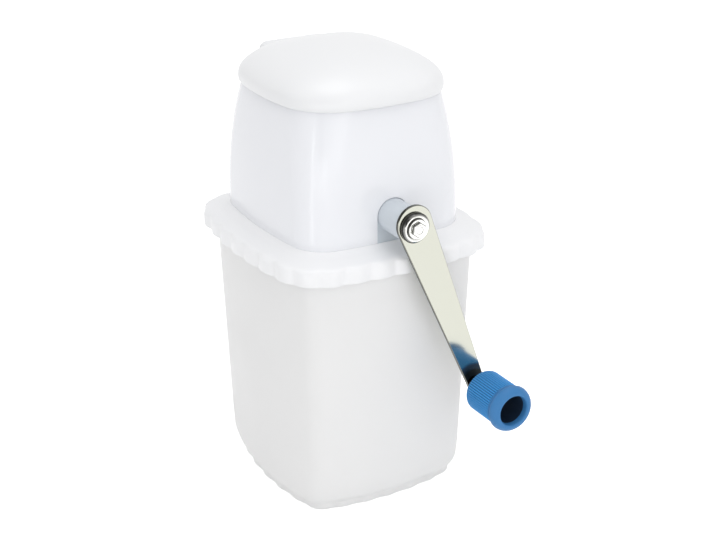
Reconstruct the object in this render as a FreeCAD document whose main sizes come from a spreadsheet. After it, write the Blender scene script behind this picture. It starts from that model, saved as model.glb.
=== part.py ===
"""Hand-cranked ice crusher: a frosted bin, a fluted collar, a hopper housing with a
hinged lid, and a cranked rotor of steel breakers that turns between two fixed combs.

Frame: +Z up, +X towards the crank, origin at the centre of the bin's flat underside.
All sizes are millimetres and are kept in the spreadsheet "Sizes".
"""
import FreeCAD, Part

import math
import os

import Sketcher
from FreeCAD import Rotation, Vector

# Widths run along X, depths along Y and heights from the table top.
SIZES = {
    # bin: a tapered tub that curves in at its heel and stands on a fluted foot
    "bin_rim_width": 133.1,
    "bin_rim_depth": 123.8,
    "bin_bulge": 160.0,
    "bin_corner": 14.0,
    "bin_height": 149.6,
    "bin_wall": 1.8,
    "bin_floor": 3.0,
    "heel_height": 22.0,
    "heel_inset": 4.7,
    "haunch_height": 11.0,
    "haunch_inset": 6.9,
    "foot_height": 5.0,
    "foot_inset": 10.5,
    "foot_wave": 0.8,
    "foot_lobes_per_side": 6,
    # collar: the fluted ring between bin and housing
    "collar_width": 142.6,
    "collar_depth": 133.0,
    "collar_bulge": 290.0,
    "collar_corner": 26.0,
    "collar_wave": 0.6,
    "collar_lobes_per_side": 8,
    "collar_skirt": 2.9,
    "collar_edge_height": 145.7,
    "collar_shoulder_height": 154.4,
    "seat_height": 159.3,
    "bin_to_collar_gap": 0.3,
    "plug_clearance": 1.0,
    "plug_wall": 2.2,
    "plug_reach": 9.9,
    "collar_floor": 2.5,
    "collar_floor_height": 146.0,
    # chute, combs and the blocks that carry them
    "chute_width": 92.0,
    "chute_depth": 64.0,
    "chute_wall": 2.5,
    "comb_height": 172.0,
    "comb_thickness": 2.0,
    "comb_width": 100.0,
    "comb_edge": 46.8,
    "comb_chamfer": 16.0,
    "comb_tip": 9.0,
    "comb_slot_width": 5.0,
    "comb_slot_root": 27.0,
    "comb_screw_x": 30.0,
    "comb_screw_y": 38.5,
    "comb_block": 9.0,
    # housing
    "housing_base_width": 112.9,
    "housing_base_depth": 105.0,
    "housing_bulge": 290.0,
    "housing_corner": 21.0,
    "housing_taper": 8.4,
    "housing_wall": 2.6,
    "housing_top_height": 237.5,
    "slot_width": 19.2,
    "post_x": 46.0,
    "post_y": 41.0,
    "post_radius": 4.5,
    "post_top_height": 171.0,
    "tower_width": 8.0,
    # lid and hinge
    "lid_width": 106.8,
    "lid_depth": 99.4,
    "lid_bulge": 185.0,
    "lid_corner": 25.0,
    "lid_edge_height": 232.6,
    "lid_widest_height": 236.2,
    "lid_edge_curl": 1.6,
    "lid_wall": 2.4,
    "lid_rest_gap": 0.3,
    "lid_crown_height": 256.5,
    "lid_hollow_inset": 11.0,
    "lid_hollow_height": 244.0,
    "hinge_x": 56.3,
    "hinge_height": 236.5,
    "hinge_pin_radius": 1.5,
    "ear_radius": 4.0,
    "ear_inner": 12.0,
    "ear_outer": 19.5,
    "ear_clearance": 0.4,
    "hood_half_length": 21.5,
    "hood_radius": 7.5,
    "hood_x": 53.5,
    "hood_height": 240.0,
    # shaft, bushes and rotor
    "shaft_height": 174.0,
    "shaft_square": 8.0,
    "journal_radius": 4.0,
    "running_clearance": 0.05,
    "bush_face": 52.7,
    "bush_flange": 2.4,
    "bush_flange_margin": 2.6,
    "bush_tongue": 2.3,
    "bush_slot_clearance": 0.2,
    "boss_radius": 9.2,
    "boss_end": 75.6,
    "rear_boss_end": 59.2,
    "rear_bore_end": 57.7,
    "breaker_count": 6,
    "breaker_pitch": 14.0,
    "breaker_thickness": 2.5,
    "breaker_reach": 24.0,
    "breaker_claws": 3,
    "sleeve_width": 12.0,
    "washer_radius": 7.0,
    "washer_thickness": 1.2,
    "side_play": 0.05,
    # funnel above the rotor
    "funnel_height": 195.0,
    "funnel_slope": 12.4,
    "funnel_wall": 1.8,
    "funnel_gap": 0.3,
    "funnel_notch": 9.5,
    # crank and knob
    "crank_angle": 22.5,
    "arm_back": 76.0,
    "arm_thickness": 2.0,
    "arm_length": 112.0,
    "arm_hub_radius": 11.0,
    "arm_tip_radius": 5.2,
    "arm_square": 6.0,
    "crank_washer_radius": 8.3,
    "crank_washer_thickness": 1.6,
    "bolt_radius": 2.0,
    "bolt_length": 14.0,
    "bolt_flange_radius": 6.0,
    "bolt_flange": 1.2,
    "bolt_hex": 8.0,
    "bolt_head": 3.2,
    "knob_pin_radius": 3.0,
    "knob_collar_radius": 4.6,
    "knob_collar": 3.9,
    "knob_gap": 0.3,
    "knob_length": 30.7,
    "knob_base_radius": 7.0,
    "knob_shoulder": 4.6,
    "knob_valley_radius": 11.5,
    "knob_rib": 0.7,
    "knob_ribs": 40,
    "knob_rim_radius": 13.4,
    "knob_rim": 6.5,
    "knob_rim_flare": 1.2,
    "knob_bore": 8.4,
    "knob_floor": 7.0,
    "pin_head_radius": 5.0,
    "pin_head": 1.6,
    # screws
    "screw_clearance": 0.05,
    "comb_screw_radius": 1.6,
    "comb_screw_head_radius": 3.4,
    "comb_screw_head": 2.2,
    "comb_screw_length": 13.0,
    "collar_screw_radius": 1.9,
    "collar_screw_head_radius": 3.8,
    "collar_screw_head": 2.6,
    "collar_screw_length": 23.0,
}


class Size:
    """A number together with the spreadsheet expression that gives it."""

    def __init__(self, value, text):
        self.value = value
        self.text = text

    def __float__(self):
        return float(self.value)

    def __int__(self):
        return int(self.value)

    def __add__(self, other):
        other = as_size(other)
        return Size(self.value + other.value, f"({self.text} + {other.text})")

    def __sub__(self, other):
        other = as_size(other)
        return Size(self.value - other.value, f"({self.text} - {other.text})")

    def __mul__(self, other):
        other = as_size(other)
        return Size(self.value * other.value, f"({self.text} * {other.text})")

    def __truediv__(self, other):
        other = as_size(other)
        return Size(self.value / other.value, f"({self.text} / {other.text})")

    def __radd__(self, other):
        return as_size(other) + self

    def __rsub__(self, other):
        return as_size(other) - self

    def __rmul__(self, other):
        return as_size(other) * self

    def __neg__(self):
        return 0 - self


def as_size(number):
    if isinstance(number, Size):
        return number
    return Size(float(number), f"({number})")


doc = FreeCAD.newDocument("IceCrusher")
sheet = doc.addObject("Spreadsheet::Sheet", "Sizes")
for row, (name, number) in enumerate(SIZES.items(), start=1):
    sheet.set(f"A{row}", name)
    sheet.set(f"B{row}", str(number))
    sheet.setAlias(f"B{row}", name)
doc.recompute()


def size(name):
    """A driving dimension, read back from the sheet."""
    return Size(float(sheet.get(name)), f"Sizes.{name}")


def bind(item, path, length):
    item.setExpression(path, as_size(length).text)


# ---------------------------------------------------------------- bodies and sketches

def new_body(label):
    body = doc.addObject("PartDesign::Body", label)
    body.Label = label
    return body


def datum(body, role):
    """One of the body's own origin planes or axes."""
    return next(item for item in body.Origin.OriginFeatures if item.Role == role)


def sketch_on(body, role="XY_Plane", offset=0):
    sketch = body.newObject("Sketcher::SketchObject", f"{body.Name}_sketch")
    sketch.AttachmentSupport = [(datum(body, role), "")]
    sketch.MapMode = "FlatFace"
    bind(sketch, ".AttachmentOffset.Base.z", offset)
    return sketch


def constrain(sketch, kind, *args):
    """Adds a dimension whose last argument is a size, and binds it to the sheet."""
    *where, length = args
    row = sketch.addConstraint(Sketcher.Constraint(kind, *where, float(length)))
    bind(sketch, f"Constraints[{row}]", length)


def pin_point(sketch, edge, end, x, y):
    """Fixes a point of the sketch at signed distances from its origin."""
    for kind, distance, axis in (("DistanceX", x, -2), ("DistanceY", y, -1)):
        if float(distance) == 0:
            sketch.addConstraint(Sketcher.Constraint("PointOnObject", edge, end, axis))
        else:
            constrain(sketch, kind, -1, 1, edge, end, distance)


def draw_polygon(sketch, corners):
    first = sketch.GeometryCount
    count = len(corners)
    places = [Vector(float(x), float(y), 0) for x, y in corners]
    for i in range(count):
        sketch.addGeometry(Part.LineSegment(places[i], places[(i + 1) % count]))
    for i in range(count):
        following = first + (i + 1) % count
        sketch.addConstraint(Sketcher.Constraint("Coincident", first + i, 2, following, 1))
    for i, (x, y) in enumerate(corners):
        pin_point(sketch, first + i, 1, x, y)


def draw_rectangle(sketch, low_x, low_y, high_x, high_y):
    draw_polygon(sketch, [(low_x, low_y), (high_x, low_y), (high_x, high_y), (low_x, high_y)])


def draw_square(sketch, x, y, width):
    draw_rectangle(sketch, x - width / 2, y - width / 2, x + width / 2, y + width / 2)


def draw_circle(sketch, x, y, radius):
    centre = Vector(float(x), float(y), 0)
    edge = sketch.addGeometry(Part.Circle(centre, Vector(0, 0, 1), float(radius)))
    pin_point(sketch, edge, 3, x, y)
    constrain(sketch, "Radius", edge, radius)


def draw_bore(sketch, x, y, radius):
    """A small hole or shank with flat sides, measured across its corners."""
    corners = []
    for i in range(BORE_SIDES):
        angle = 2 * math.pi * i / BORE_SIDES
        corners.append((x + radius * math.cos(angle), y + radius * math.sin(angle)))
    draw_polygon(sketch, corners)


def draw_arch(sketch, half_width, centre_y, end_y):
    """A half circle on two straight legs that run from its centre line down to end_y."""
    reach, spring, foot = float(half_width), float(centre_y), float(end_y)
    circle = Part.Circle(Vector(0, spring, 0), Vector(0, 0, 1), reach)
    arc = sketch.addGeometry(Part.ArcOfCircle(circle, 0, math.pi))
    places = [Vector(-reach, spring, 0), Vector(-reach, foot, 0),
              Vector(reach, foot, 0), Vector(reach, spring, 0)]
    lines = [sketch.addGeometry(Part.LineSegment(places[i], places[i + 1])) for i in range(3)]
    sketch.addConstraint(Sketcher.Constraint("Tangent", arc, 2, lines[0], 1))
    sketch.addConstraint(Sketcher.Constraint("Coincident", lines[0], 2, lines[1], 1))
    sketch.addConstraint(Sketcher.Constraint("Coincident", lines[1], 2, lines[2], 1))
    sketch.addConstraint(Sketcher.Constraint("Tangent", lines[2], 2, arc, 1))
    sketch.addConstraint(Sketcher.Constraint("Vertical", lines[0]))
    sketch.addConstraint(Sketcher.Constraint("Horizontal", lines[1]))
    sketch.addConstraint(Sketcher.Constraint("Vertical", lines[2]))
    pin_point(sketch, arc, 3, 0, centre_y)
    constrain(sketch, "Radius", arc, half_width)
    constrain(sketch, "DistanceY", -1, 1, lines[1], 1, end_y)


def draw_loop(sketch, points):
    """Straight edges from point to point and back to the first."""
    for i, point in enumerate(points):
        sketch.addGeometry(Part.LineSegment(points[i - 1], point))


# Chords that stand for each side arc and each corner arc of a plan.
SIDE_FACETS = 4
CORNER_FACETS = 4

# Flats round the thread of a screw or bolt, and round its hole.
BORE_SIDES = 8


class Plan:
    """A rounded rectangle with bulging sides: four wide arcs and four corner arcs, tangent."""

    def __init__(self, width, depth, bulge, corner):
        self.half_x = width / 2
        self.half_y = depth / 2
        self.side_bulge = bulge
        self.end_bulge = bulge
        self.corner = corner

    def moved_in(self, wall, corner_by, side_by, end_by):
        plan = Plan(2 * (self.half_x - wall), 2 * (self.half_y - wall),
                    self.side_bulge - side_by, self.corner - corner_by)
        plan.end_bulge = self.end_bulge - end_by
        return plan

    def inset(self, wall):
        """The parallel plan inside this one; its arcs share their centres with these."""
        return self.moved_in(wall, wall, wall, wall)

    def tapered(self, by):
        """The plan moved in with its corner radius kept, for a wall that leans inwards.

        Each arc still turns through the same angle, so the wall has plane facets."""
        _, start, stop = self.quarter()
        side, end = 1 - math.cos(start), 1 - math.sin(stop)
        spread = math.cos(stop) * math.sin(start) - side * end
        return self.moved_in(by, 0, by * ((math.cos(stop) - end) / spread),
                             by * ((math.sin(start) - side) / spread))

    def quarter(self):
        """The corner arc's centre, and where it starts and ends, in the +X +Y quarter."""
        corner = float(self.corner)
        from_side = float(self.side_bulge) - corner
        from_end = float(self.end_bulge) - corner
        side = Vector(float(self.half_x) - float(self.side_bulge), 0, 0)
        end = Vector(0, float(self.half_y) - float(self.end_bulge), 0)
        across = end - side
        span = across.Length
        across.normalize()
        away = Vector(-across.y, across.x, 0)
        reach = (from_side ** 2 - from_end ** 2 + span ** 2) / (2 * span)
        centre = side + across * reach + away * math.sqrt(from_side ** 2 - reach ** 2)
        start = math.atan2(centre.y, centre.x - side.x)
        stop = math.atan2(centre.y - end.y, centre.x)
        return centre, start, stop

    def arcs(self):
        """Centre x, centre y, radius, start and end angle of each arc, anticlockwise."""
        centre, start, stop = self.quarter()
        side_bulge, end_bulge = float(self.side_bulge), float(self.end_bulge)
        corner = float(self.corner)
        side, end = side_bulge - float(self.half_x), end_bulge - float(self.half_y)
        turn = math.pi
        return [
            (-side, 0, side_bulge, -start, start),
            (centre.x, centre.y, corner, start, stop),
            (0, -end, end_bulge, stop, turn - stop),
            (-centre.x, centre.y, corner, turn - stop, turn - start),
            (side, 0, side_bulge, turn - start, turn + start),
            (-centre.x, -centre.y, corner, turn + start, turn + stop),
            (0, end, end_bulge, turn + stop, 2 * turn - stop),
            (centre.x, -centre.y, corner, 2 * turn - stop, 2 * turn - start),
        ]

    def loop(self, height, share=1):
        """Points round the plan at a height, close enough together for straight chords."""
        points = []
        for i, (x, y, radius, start, stop) in enumerate(self.arcs()):
            facets = CORNER_FACETS if i % 2 else SIDE_FACETS
            for step in range(facets):
                angle = start + (stop - start) * step / facets
                point = Vector(x + radius * math.cos(angle), y + radius * math.sin(angle), 0)
                points.append(point * share + Vector(0, 0, float(height)))
        return points

    def draw_wave(self, sketch, lobes_per_side, height):
        """Flutes with slanting flanks, height out and in from the plan, a crest on each corner."""
        points = []
        arcs = self.arcs()
        steps = 4 * int(lobes_per_side)
        for side in range(0, 8, 2):
            before, flat, after = arcs[side - 1], arcs[side], arcs[side + 1]
            run = [half_arc(before, upper=True), flat, half_arc(after, upper=False)]
            lengths = [radius * (stop - start) for _, _, radius, start, stop in run]
            for step in range(steps):
                place, outward = along(run, lengths, sum(lengths) * (step + 0.5) / steps)
                swing = float(height) * (1 if step % 4 in (0, 3) else -1)
                points.append(place + outward * swing)
        draw_loop(sketch, points)


def half_arc(arc, upper):
    x, y, radius, start, stop = arc
    middle = (start + stop) / 2
    return (x, y, radius, middle, stop) if upper else (x, y, radius, start, middle)


def along(run, lengths, distance):
    """The place and outward direction at a distance along a run of arcs."""
    for (x, y, radius, start, _), length in zip(run, lengths):
        if distance <= length:
            break
        distance -= length
    angle = start + distance / radius
    outward = Vector(math.cos(angle), math.sin(angle), 0)
    return Vector(x, y, 0) + outward * radius, outward


# ---------------------------------------------------------------- features

def extrude(body, kind, sketch, length, symmetric=False, reverse=False):
    feature = body.newObject(f"PartDesign::{kind}", f"{body.Name}_{kind}")
    feature.Profile = sketch
    feature.Reversed = reverse
    if symmetric:
        feature.SideType = "Symmetric"
    bind(feature, "Length", length)
    return feature


def pad(body, sketch, length, **options):
    """Adds material along the sketch's normal: +Z, +X or -Y."""
    return extrude(body, "Pad", sketch, length, **options)


def cut(body, sketch, length, symmetric=False):
    """Removes material along the sketch's normal, or evenly on both sides of it."""
    doc.recompute()
    before = body.Shape.Volume
    feature = extrude(body, "Pocket", sketch, length, symmetric=symmetric, reverse=not symmetric)
    doc.recompute()
    if body.Shape.Volume > before - 1e-3:
        raise RuntimeError(f"{body.Label}: a pocket removes nothing")
    return feature


def plan_sketch(body, height, plan):
    sketch = sketch_on(body, offset=height)
    draw_loop(sketch, plan.loop(0))
    return sketch


def faceted(label, loops):
    """A solid with plane facets from each closed loop of points to the next, and flat ends."""
    faces = [Part.Face(Part.makePolygon(loop + loop[:1])) for loop in (loops[0], loops[-1])]
    for lower, upper in zip(loops, loops[1:]):
        for i, corner in enumerate(lower):
            edge = [lower[i - 1], corner, upper[i], upper[i - 1], lower[i - 1]]
            faces.append(Part.Face(Part.makePolygon(edge)))
    item = doc.addObject("Part::Feature", label)
    item.Shape = Part.Solid(Part.Shell(faces))
    return item


def begin_with_walls(body, sections, wall):
    """Starts a body as tapered walls through (plan, height) sections, open at both ends."""
    label = body.Label
    walls = doc.addObject("Part::Cut", f"{label}_walls")
    walls.Base = faceted(f"{label}_outside", [plan.loop(height) for plan, height in sections])
    walls.Tool = faceted(f"{label}_inside",
                         [plan.inset(wall).loop(height) for plan, height in sections])
    body.BaseFeature = walls


def mirrored(body, features, role):
    feature = body.newObject("PartDesign::Mirrored", f"{body.Name}_mirrored")
    feature.Originals = features
    feature.MirrorPlane = (datum(body, role), [""])
    body.Tip = feature
    return feature


def polar(body, features, count):
    """Repeats features evenly about the body's own X axis."""
    feature = body.newObject("PartDesign::PolarPattern", f"{body.Name}_polar")
    feature.Originals = features
    feature.Axis = (datum(body, "X_Axis"), [""])
    feature.Angle = 360
    bind(feature, "Occurrences", count)
    body.Tip = feature
    return feature


def revolve(body, corners):
    """Turns a closed profile of (x, radius) corners about the body's own X axis."""
    sketch = sketch_on(body, "XZ_Plane")
    draw_polygon(sketch, corners)
    feature = body.newObject("PartDesign::Revolution", f"{body.Name}_Revolution")
    feature.Profile = sketch
    feature.ReferenceAxis = (datum(body, "X_Axis"), [""])
    feature.Angle = 360
    return feature


def four_corners(x, y):
    return [(x, y), (-x, y), (-x, -y), (x, -y)]


def place(item, x=0, y=0, z=0, turn=0, axis=Vector(1, 0, 0)):
    """Puts a sub-part in the assembly, turned about an axis through its own origin."""
    item.Placement.Rotation = Rotation(axis, 1)
    for letter, distance in (("x", x), ("y", y), ("z", z)):
        bind(item, f".Placement.Base.{letter}", distance)
    bind(item, ".Placement.Rotation.Angle", turn)


# ---------------------------------------------------------------- shared plans and places

bin_rim = Plan(size("bin_rim_width"), size("bin_rim_depth"), size("bin_bulge"), size("bin_corner"))
collar_plan = Plan(size("collar_width"), size("collar_depth"),
                   size("collar_bulge"), size("collar_corner"))
housing_base = Plan(size("housing_base_width"), size("housing_base_depth"),
                    size("housing_bulge"), size("housing_corner"))
housing_neck = housing_base.tapered(size("housing_taper"))
lid_plan = Plan(size("lid_width"), size("lid_depth"), size("lid_bulge"), size("lid_corner"))

# Shares of the housing's height at which its wall has a section, and how it curves in there.
HOUSING_SHARES = (0, 0.35, 0.6, 0.8, 1)
HOUSING_CURVE = 2.4

slot_half = size("slot_width") / 2
comb_top = size("comb_height") + size("comb_thickness")
hinge_x = -size("hinge_x")
bush_inside = size("bush_face") - size("bush_flange")
square_end = bush_inside - 2 * size("side_play")
arm_front = size("arm_back") + size("arm_thickness")


# ---------------------------------------------------------------- bin

def make_bin():
    body = new_body("bin")
    foot_plan = bin_rim.tapered(size("foot_inset"))
    begin_with_walls(body, [(foot_plan, size("foot_height")),
                            (bin_rim.tapered(size("haunch_inset")), size("haunch_height")),
                            (bin_rim.tapered(size("heel_inset")), size("heel_height")),
                            (bin_rim, size("bin_height"))], size("bin_wall"))
    foot = sketch_on(body)
    foot_plan.draw_wave(foot, size("foot_lobes_per_side"), size("foot_wave"))
    pad(body, foot, size("foot_height"))
    well = plan_sketch(body, size("bin_floor"), foot_plan.inset(size("bin_wall")))
    cut(body, well, size("foot_height") - size("bin_floor"))
    return body


# ---------------------------------------------------------------- collar

# The collar's top rises in a cove: shares of its run across and of its rise.
COVE = ((0, 0), (0.08, 0.24), (0.42, 0.45), (1, 1))


def make_collar():
    body = new_body("collar")
    edge = size("collar_edge_height")
    shoulder = size("collar_shoulder_height")
    seat = size("seat_height")
    outer = collar_plan.inset(size("collar_wave"))
    run = outer.half_x - housing_base.half_x
    body.BaseFeature = faceted("collar_cove", [
        outer.tapered(run * across).loop(shoulder + (seat - shoulder) * up) for across, up in COVE])
    skirt = sketch_on(body, offset=edge)
    collar_plan.draw_wave(skirt, size("collar_lobes_per_side"), size("collar_wave"))
    pad(body, skirt, shoulder - edge)
    ledge = size("bin_height") + size("bin_to_collar_gap")
    inside_skirt = plan_sketch(body, edge, collar_plan.inset(size("collar_skirt")))
    cut(body, inside_skirt, ledge - edge)

    # a plug that drops into the bin's mouth, and the floor across it
    floor_foot = size("collar_floor_height")
    floor_top = floor_foot + size("collar_floor")
    plug_foot = ledge - size("plug_reach")
    plug = bin_rim.inset(size("bin_wall") + size("plug_clearance"))
    pad(body, plan_sketch(body, plug_foot, plug), shoulder - plug_foot)
    cut(body, plan_sketch(body, plug_foot, plug.inset(size("plug_wall"))), floor_foot - plug_foot)
    cut(body, plan_sketch(body, floor_top, housing_base.inset(size("housing_wall"))),
        seat - floor_top + 1)

    # chute walls, comb blocks and screw towers stand on the floor
    chute_x = size("chute_width") / 2 + size("chute_wall")
    chute_y = size("chute_depth") / 2 + size("chute_wall")
    chute = sketch_on(body, offset=floor_foot)
    draw_rectangle(chute, -chute_x, -chute_y, chute_x, chute_y)
    pad(body, chute, size("comb_height") - floor_foot)
    block_half = size("comb_block") / 2
    for x in (size("comb_screw_x"), -size("comb_screw_x")):
        blocks = sketch_on(body, offset=floor_foot)
        draw_rectangle(blocks, x - block_half, -size("comb_screw_y") - block_half,
                       x + block_half, size("comb_screw_y") + block_half)
        pad(body, blocks, size("comb_height") - floor_foot)
    towers = sketch_on(body, offset=floor_foot)
    for x, y in four_corners(size("post_x"), size("post_y")):
        draw_square(towers, x, y, size("tower_width"))
    pad(body, towers, seat - floor_foot)

    # openings: the chute, the way for the shaft, and the screw holes
    throat = sketch_on(body, offset=plug_foot)
    throat_x, throat_y = size("chute_width") / 2, size("chute_depth") / 2
    draw_rectangle(throat, -throat_x, -throat_y, throat_x, throat_y)
    cut(body, throat, comb_top - plug_foot)
    shaft_way = sketch_on(body, "YZ_Plane")
    draw_rectangle(shaft_way, -size("comb_tip"), size("shaft_height") - size("comb_tip"),
                   size("comb_tip"), comb_top)
    cut(body, shaft_way, size("collar_width"), symmetric=True)
    pilots = sketch_on(body, offset=comb_top - size("comb_screw_length"))
    for x, y in four_corners(size("comb_screw_x"), size("comb_screw_y")):
        draw_bore(pilots, x, y, size("comb_screw_radius") + size("screw_clearance"))
    cut(body, pilots, size("comb_screw_length"))
    clear_holes = sketch_on(body, offset=floor_foot - 1)
    for x, y in four_corners(size("post_x"), size("post_y")):
        draw_bore(clear_holes, x, y, size("collar_screw_radius") + 2 * size("screw_clearance"))
    cut(body, clear_holes, seat - floor_foot + 2)
    return body


# ---------------------------------------------------------------- housing

def make_housing():
    body = new_body("housing")
    seat = size("seat_height")
    height = size("housing_top_height") - seat
    sections = [(housing_base.tapered(size("housing_taper") * share ** HOUSING_CURVE),
                 seat + height * share) for share in HOUSING_SHARES]
    begin_with_walls(body, sections, size("housing_wall"))

    posts = sketch_on(body, offset=seat)
    for x, y in four_corners(size("post_x"), size("post_y")):
        draw_circle(posts, x, y, size("post_radius"))
    pad(body, posts, size("post_top_height") - seat)
    pilots = sketch_on(body, offset=seat)
    for x, y in four_corners(size("post_x"), size("post_y")):
        draw_bore(pilots, x, y, size("collar_screw_radius") + size("screw_clearance"))
    cut(body, pilots, size("collar_screw_length") + size("collar_floor_height") - seat)

    slots = sketch_on(body, "YZ_Plane")
    draw_arch(slots, slot_half, size("shaft_height"), seat)
    cut(body, slots, size("collar_width"), symmetric=True)

    # hinge ears, each on a bracket that springs from the wall away from the crank
    ear = sketch_on(body, "XZ_Plane", offset=size("ear_inner"))
    draw_circle(ear, hinge_x, size("hinge_height"), size("ear_radius"))
    length = size("ear_outer") - size("ear_inner")
    barrel = pad(body, ear, length)
    bracket_sketch = sketch_on(body, "XZ_Plane", offset=size("ear_inner"))
    mid_wall = size("housing_wall") / 2 - housing_neck.half_x
    draw_polygon(bracket_sketch, [(hinge_x, size("hinge_height") + size("ear_radius")),
                                  (mid_wall, size("housing_top_height") - size("ear_clearance")),
                                  (mid_wall, size("hinge_height") - 3 * size("ear_radius")),
                                  (hinge_x, size("hinge_height") - size("ear_radius"))])
    bracket = pad(body, bracket_sketch, length)
    mirrored(body, [barrel, bracket], "XZ_Plane")
    hole = sketch_on(body, "XZ_Plane")
    draw_circle(hole, hinge_x, size("hinge_height"),
                size("hinge_pin_radius") + size("screw_clearance"))
    cut(body, hole, 2 * size("hood_half_length"), symmetric=True)
    return body


# ---------------------------------------------------------------- lid

# Angles, in degrees, of the quarter ellipse that the lid's outside follows to its crown.
LID_ANGLES = (0, 12, 24, 36, 48, 60, 72, 84)


def make_lid():
    body = new_body("lid")
    edge, widest = size("lid_edge_height"), size("lid_widest_height")
    crown = size("lid_crown_height")
    loops = [lid_plan.inset(size("lid_edge_curl")).loop(edge)]
    for degrees in LID_ANGLES:
        across, up = math.cos(math.radians(degrees)), math.sin(math.radians(degrees))
        loops.append(lid_plan.loop(widest + (crown - widest) * up, across))
    body.BaseFeature = faceted("lid_shell", loops)

    # the hood over the hinge
    hood = sketch_on(body, "XZ_Plane")
    draw_circle(hood, -size("hood_x"), size("hood_height"), size("hood_radius"))
    pad(body, hood, 2 * size("hood_half_length"), symmetric=True)

    # underside: the recess for the housing's top, and a hollow under the dome
    rest = size("housing_top_height") + size("lid_rest_gap")
    below = size("hinge_height") - 2 * size("ear_radius")
    cut(body, plan_sketch(body, below, lid_plan.inset(size("lid_wall"))), rest - below)
    cut(body, plan_sketch(body, rest, lid_plan.inset(size("lid_hollow_inset"))),
        size("lid_hollow_height") - rest)

    # room for each ear and its bracket, and the bore for the pin
    clear = size("ear_clearance")
    for start in (size("ear_inner") - clear, -size("ear_outer") - clear):
        room = sketch_on(body, "XZ_Plane", offset=start)
        draw_rectangle(room, -size("hood_x") - 2 * size("hood_radius"), below,
                       clear - housing_neck.half_x,
                       size("hinge_height") + size("ear_radius") + 2 * clear)
        cut(body, room, size("ear_outer") - size("ear_inner") + 2 * clear)
    bore = sketch_on(body, "XZ_Plane")
    draw_circle(bore, hinge_x, size("hinge_height"),
                size("hinge_pin_radius") + size("running_clearance"))
    cut(body, bore, 2 * size("ear_outer") + 2 * clear, symmetric=True)
    return body


def make_hinge_pin():
    body = new_body("hinge_pin")
    sketch = sketch_on(body, "XZ_Plane")
    draw_circle(sketch, hinge_x, size("hinge_height"), size("hinge_pin_radius"))
    pad(body, sketch, 2 * size("ear_outer"), symmetric=True)
    return body


# ---------------------------------------------------------------- bushes, funnel and combs

def make_bush(label, boss_end, bore_end, turn):
    """A bearing bush whose tongue fills one of the housing's slots, flush with its foot."""
    body = new_body(label)
    face = size("bush_face")
    axis_height = size("shaft_height")
    flange = sketch_on(body, "YZ_Plane", offset=bush_inside)
    draw_arch(flange, slot_half + size("bush_flange_margin"), axis_height, size("seat_height"))
    pad(body, flange, size("bush_flange"))
    tongue = sketch_on(body, "YZ_Plane", offset=face)
    draw_arch(tongue, slot_half - size("bush_slot_clearance"), axis_height, size("seat_height"))
    pad(body, tongue, size("bush_tongue"))
    boss = sketch_on(body, "YZ_Plane", offset=face)
    draw_circle(boss, 0, axis_height, size("boss_radius"))
    pad(body, boss, boss_end - face)
    bore = sketch_on(body, "YZ_Plane", offset=bush_inside)
    draw_circle(bore, 0, axis_height, size("journal_radius") + size("running_clearance"))
    cut(body, bore, bore_end - bush_inside)
    place(body, turn=turn, axis=Vector(0, 0, 1))
    return body


def make_funnel():
    """Sloping walls that guide the ice from the housing down to the combs."""
    body = new_body("hopper_funnel")
    foot, top = comb_top + size("funnel_gap"), size("funnel_height")
    share = (top - size("seat_height")) / (size("housing_top_height") - size("seat_height"))
    lean = size("housing_taper") * float(share) ** HOUSING_CURVE
    brim = housing_base.tapered(lean).inset(size("housing_wall") + size("funnel_gap"))
    mouth = brim.inset(size("funnel_slope"))
    begin_with_walls(body, [(mouth, foot), (brim, top)], size("funnel_wall"))
    notch = sketch_on(body, "YZ_Plane")
    draw_arch(notch, size("funnel_notch"), size("shaft_height"), foot - size("funnel_notch"))
    cut(body, notch, size("collar_width"), symmetric=True)
    return body


def make_comb(label, turn):
    """A steel plate across one side of the chute, slotted for the breakers to pass."""
    body = new_body(label)
    plate = sketch_on(body)
    half, chamfer = size("comb_width") / 2, size("comb_chamfer")
    draw_polygon(plate, [(-half, size("comb_tip")), (half, size("comb_tip")),
                         (half, size("comb_edge") - chamfer), (half - chamfer, size("comb_edge")),
                         (chamfer - half, size("comb_edge")),
                         (-half, size("comb_edge") - chamfer)])
    pad(body, plate, size("comb_thickness"))
    span = size("breaker_pitch") * (size("breaker_count") - 1)
    slot = sketch_on(body, offset=-1)
    slot_width = size("comb_slot_width")
    draw_rectangle(slot, -span / 2 - slot_width / 2, size("comb_tip") - 1,
                   -span / 2 + slot_width / 2, size("comb_slot_root"))
    first = cut(body, slot, size("comb_thickness") + 2)
    slots = body.newObject("PartDesign::LinearPattern", f"{body.Name}_slots")
    slots.Originals = [first]
    slots.Direction = (datum(body, "X_Axis"), [""])
    bind(slots, "Length", span)
    bind(slots, "Occurrences", size("breaker_count"))
    body.Tip = slots
    holes = sketch_on(body, offset=-1)
    for sign in (1, -1):
        draw_bore(holes, sign * size("comb_screw_x"), size("comb_screw_y"),
                  size("comb_screw_radius") + 2 * size("screw_clearance"))
    cut(body, holes, size("comb_thickness") + 2)
    place(body, z=size("comb_height"), turn=turn, axis=Vector(0, 0, 1))
    return body


# ---------------------------------------------------------------- rotor

def turned_with_crank(body, x=0, turn=0):
    place(body, x=x, z=size("shaft_height"), turn=size("crank_angle") + turn)


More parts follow.
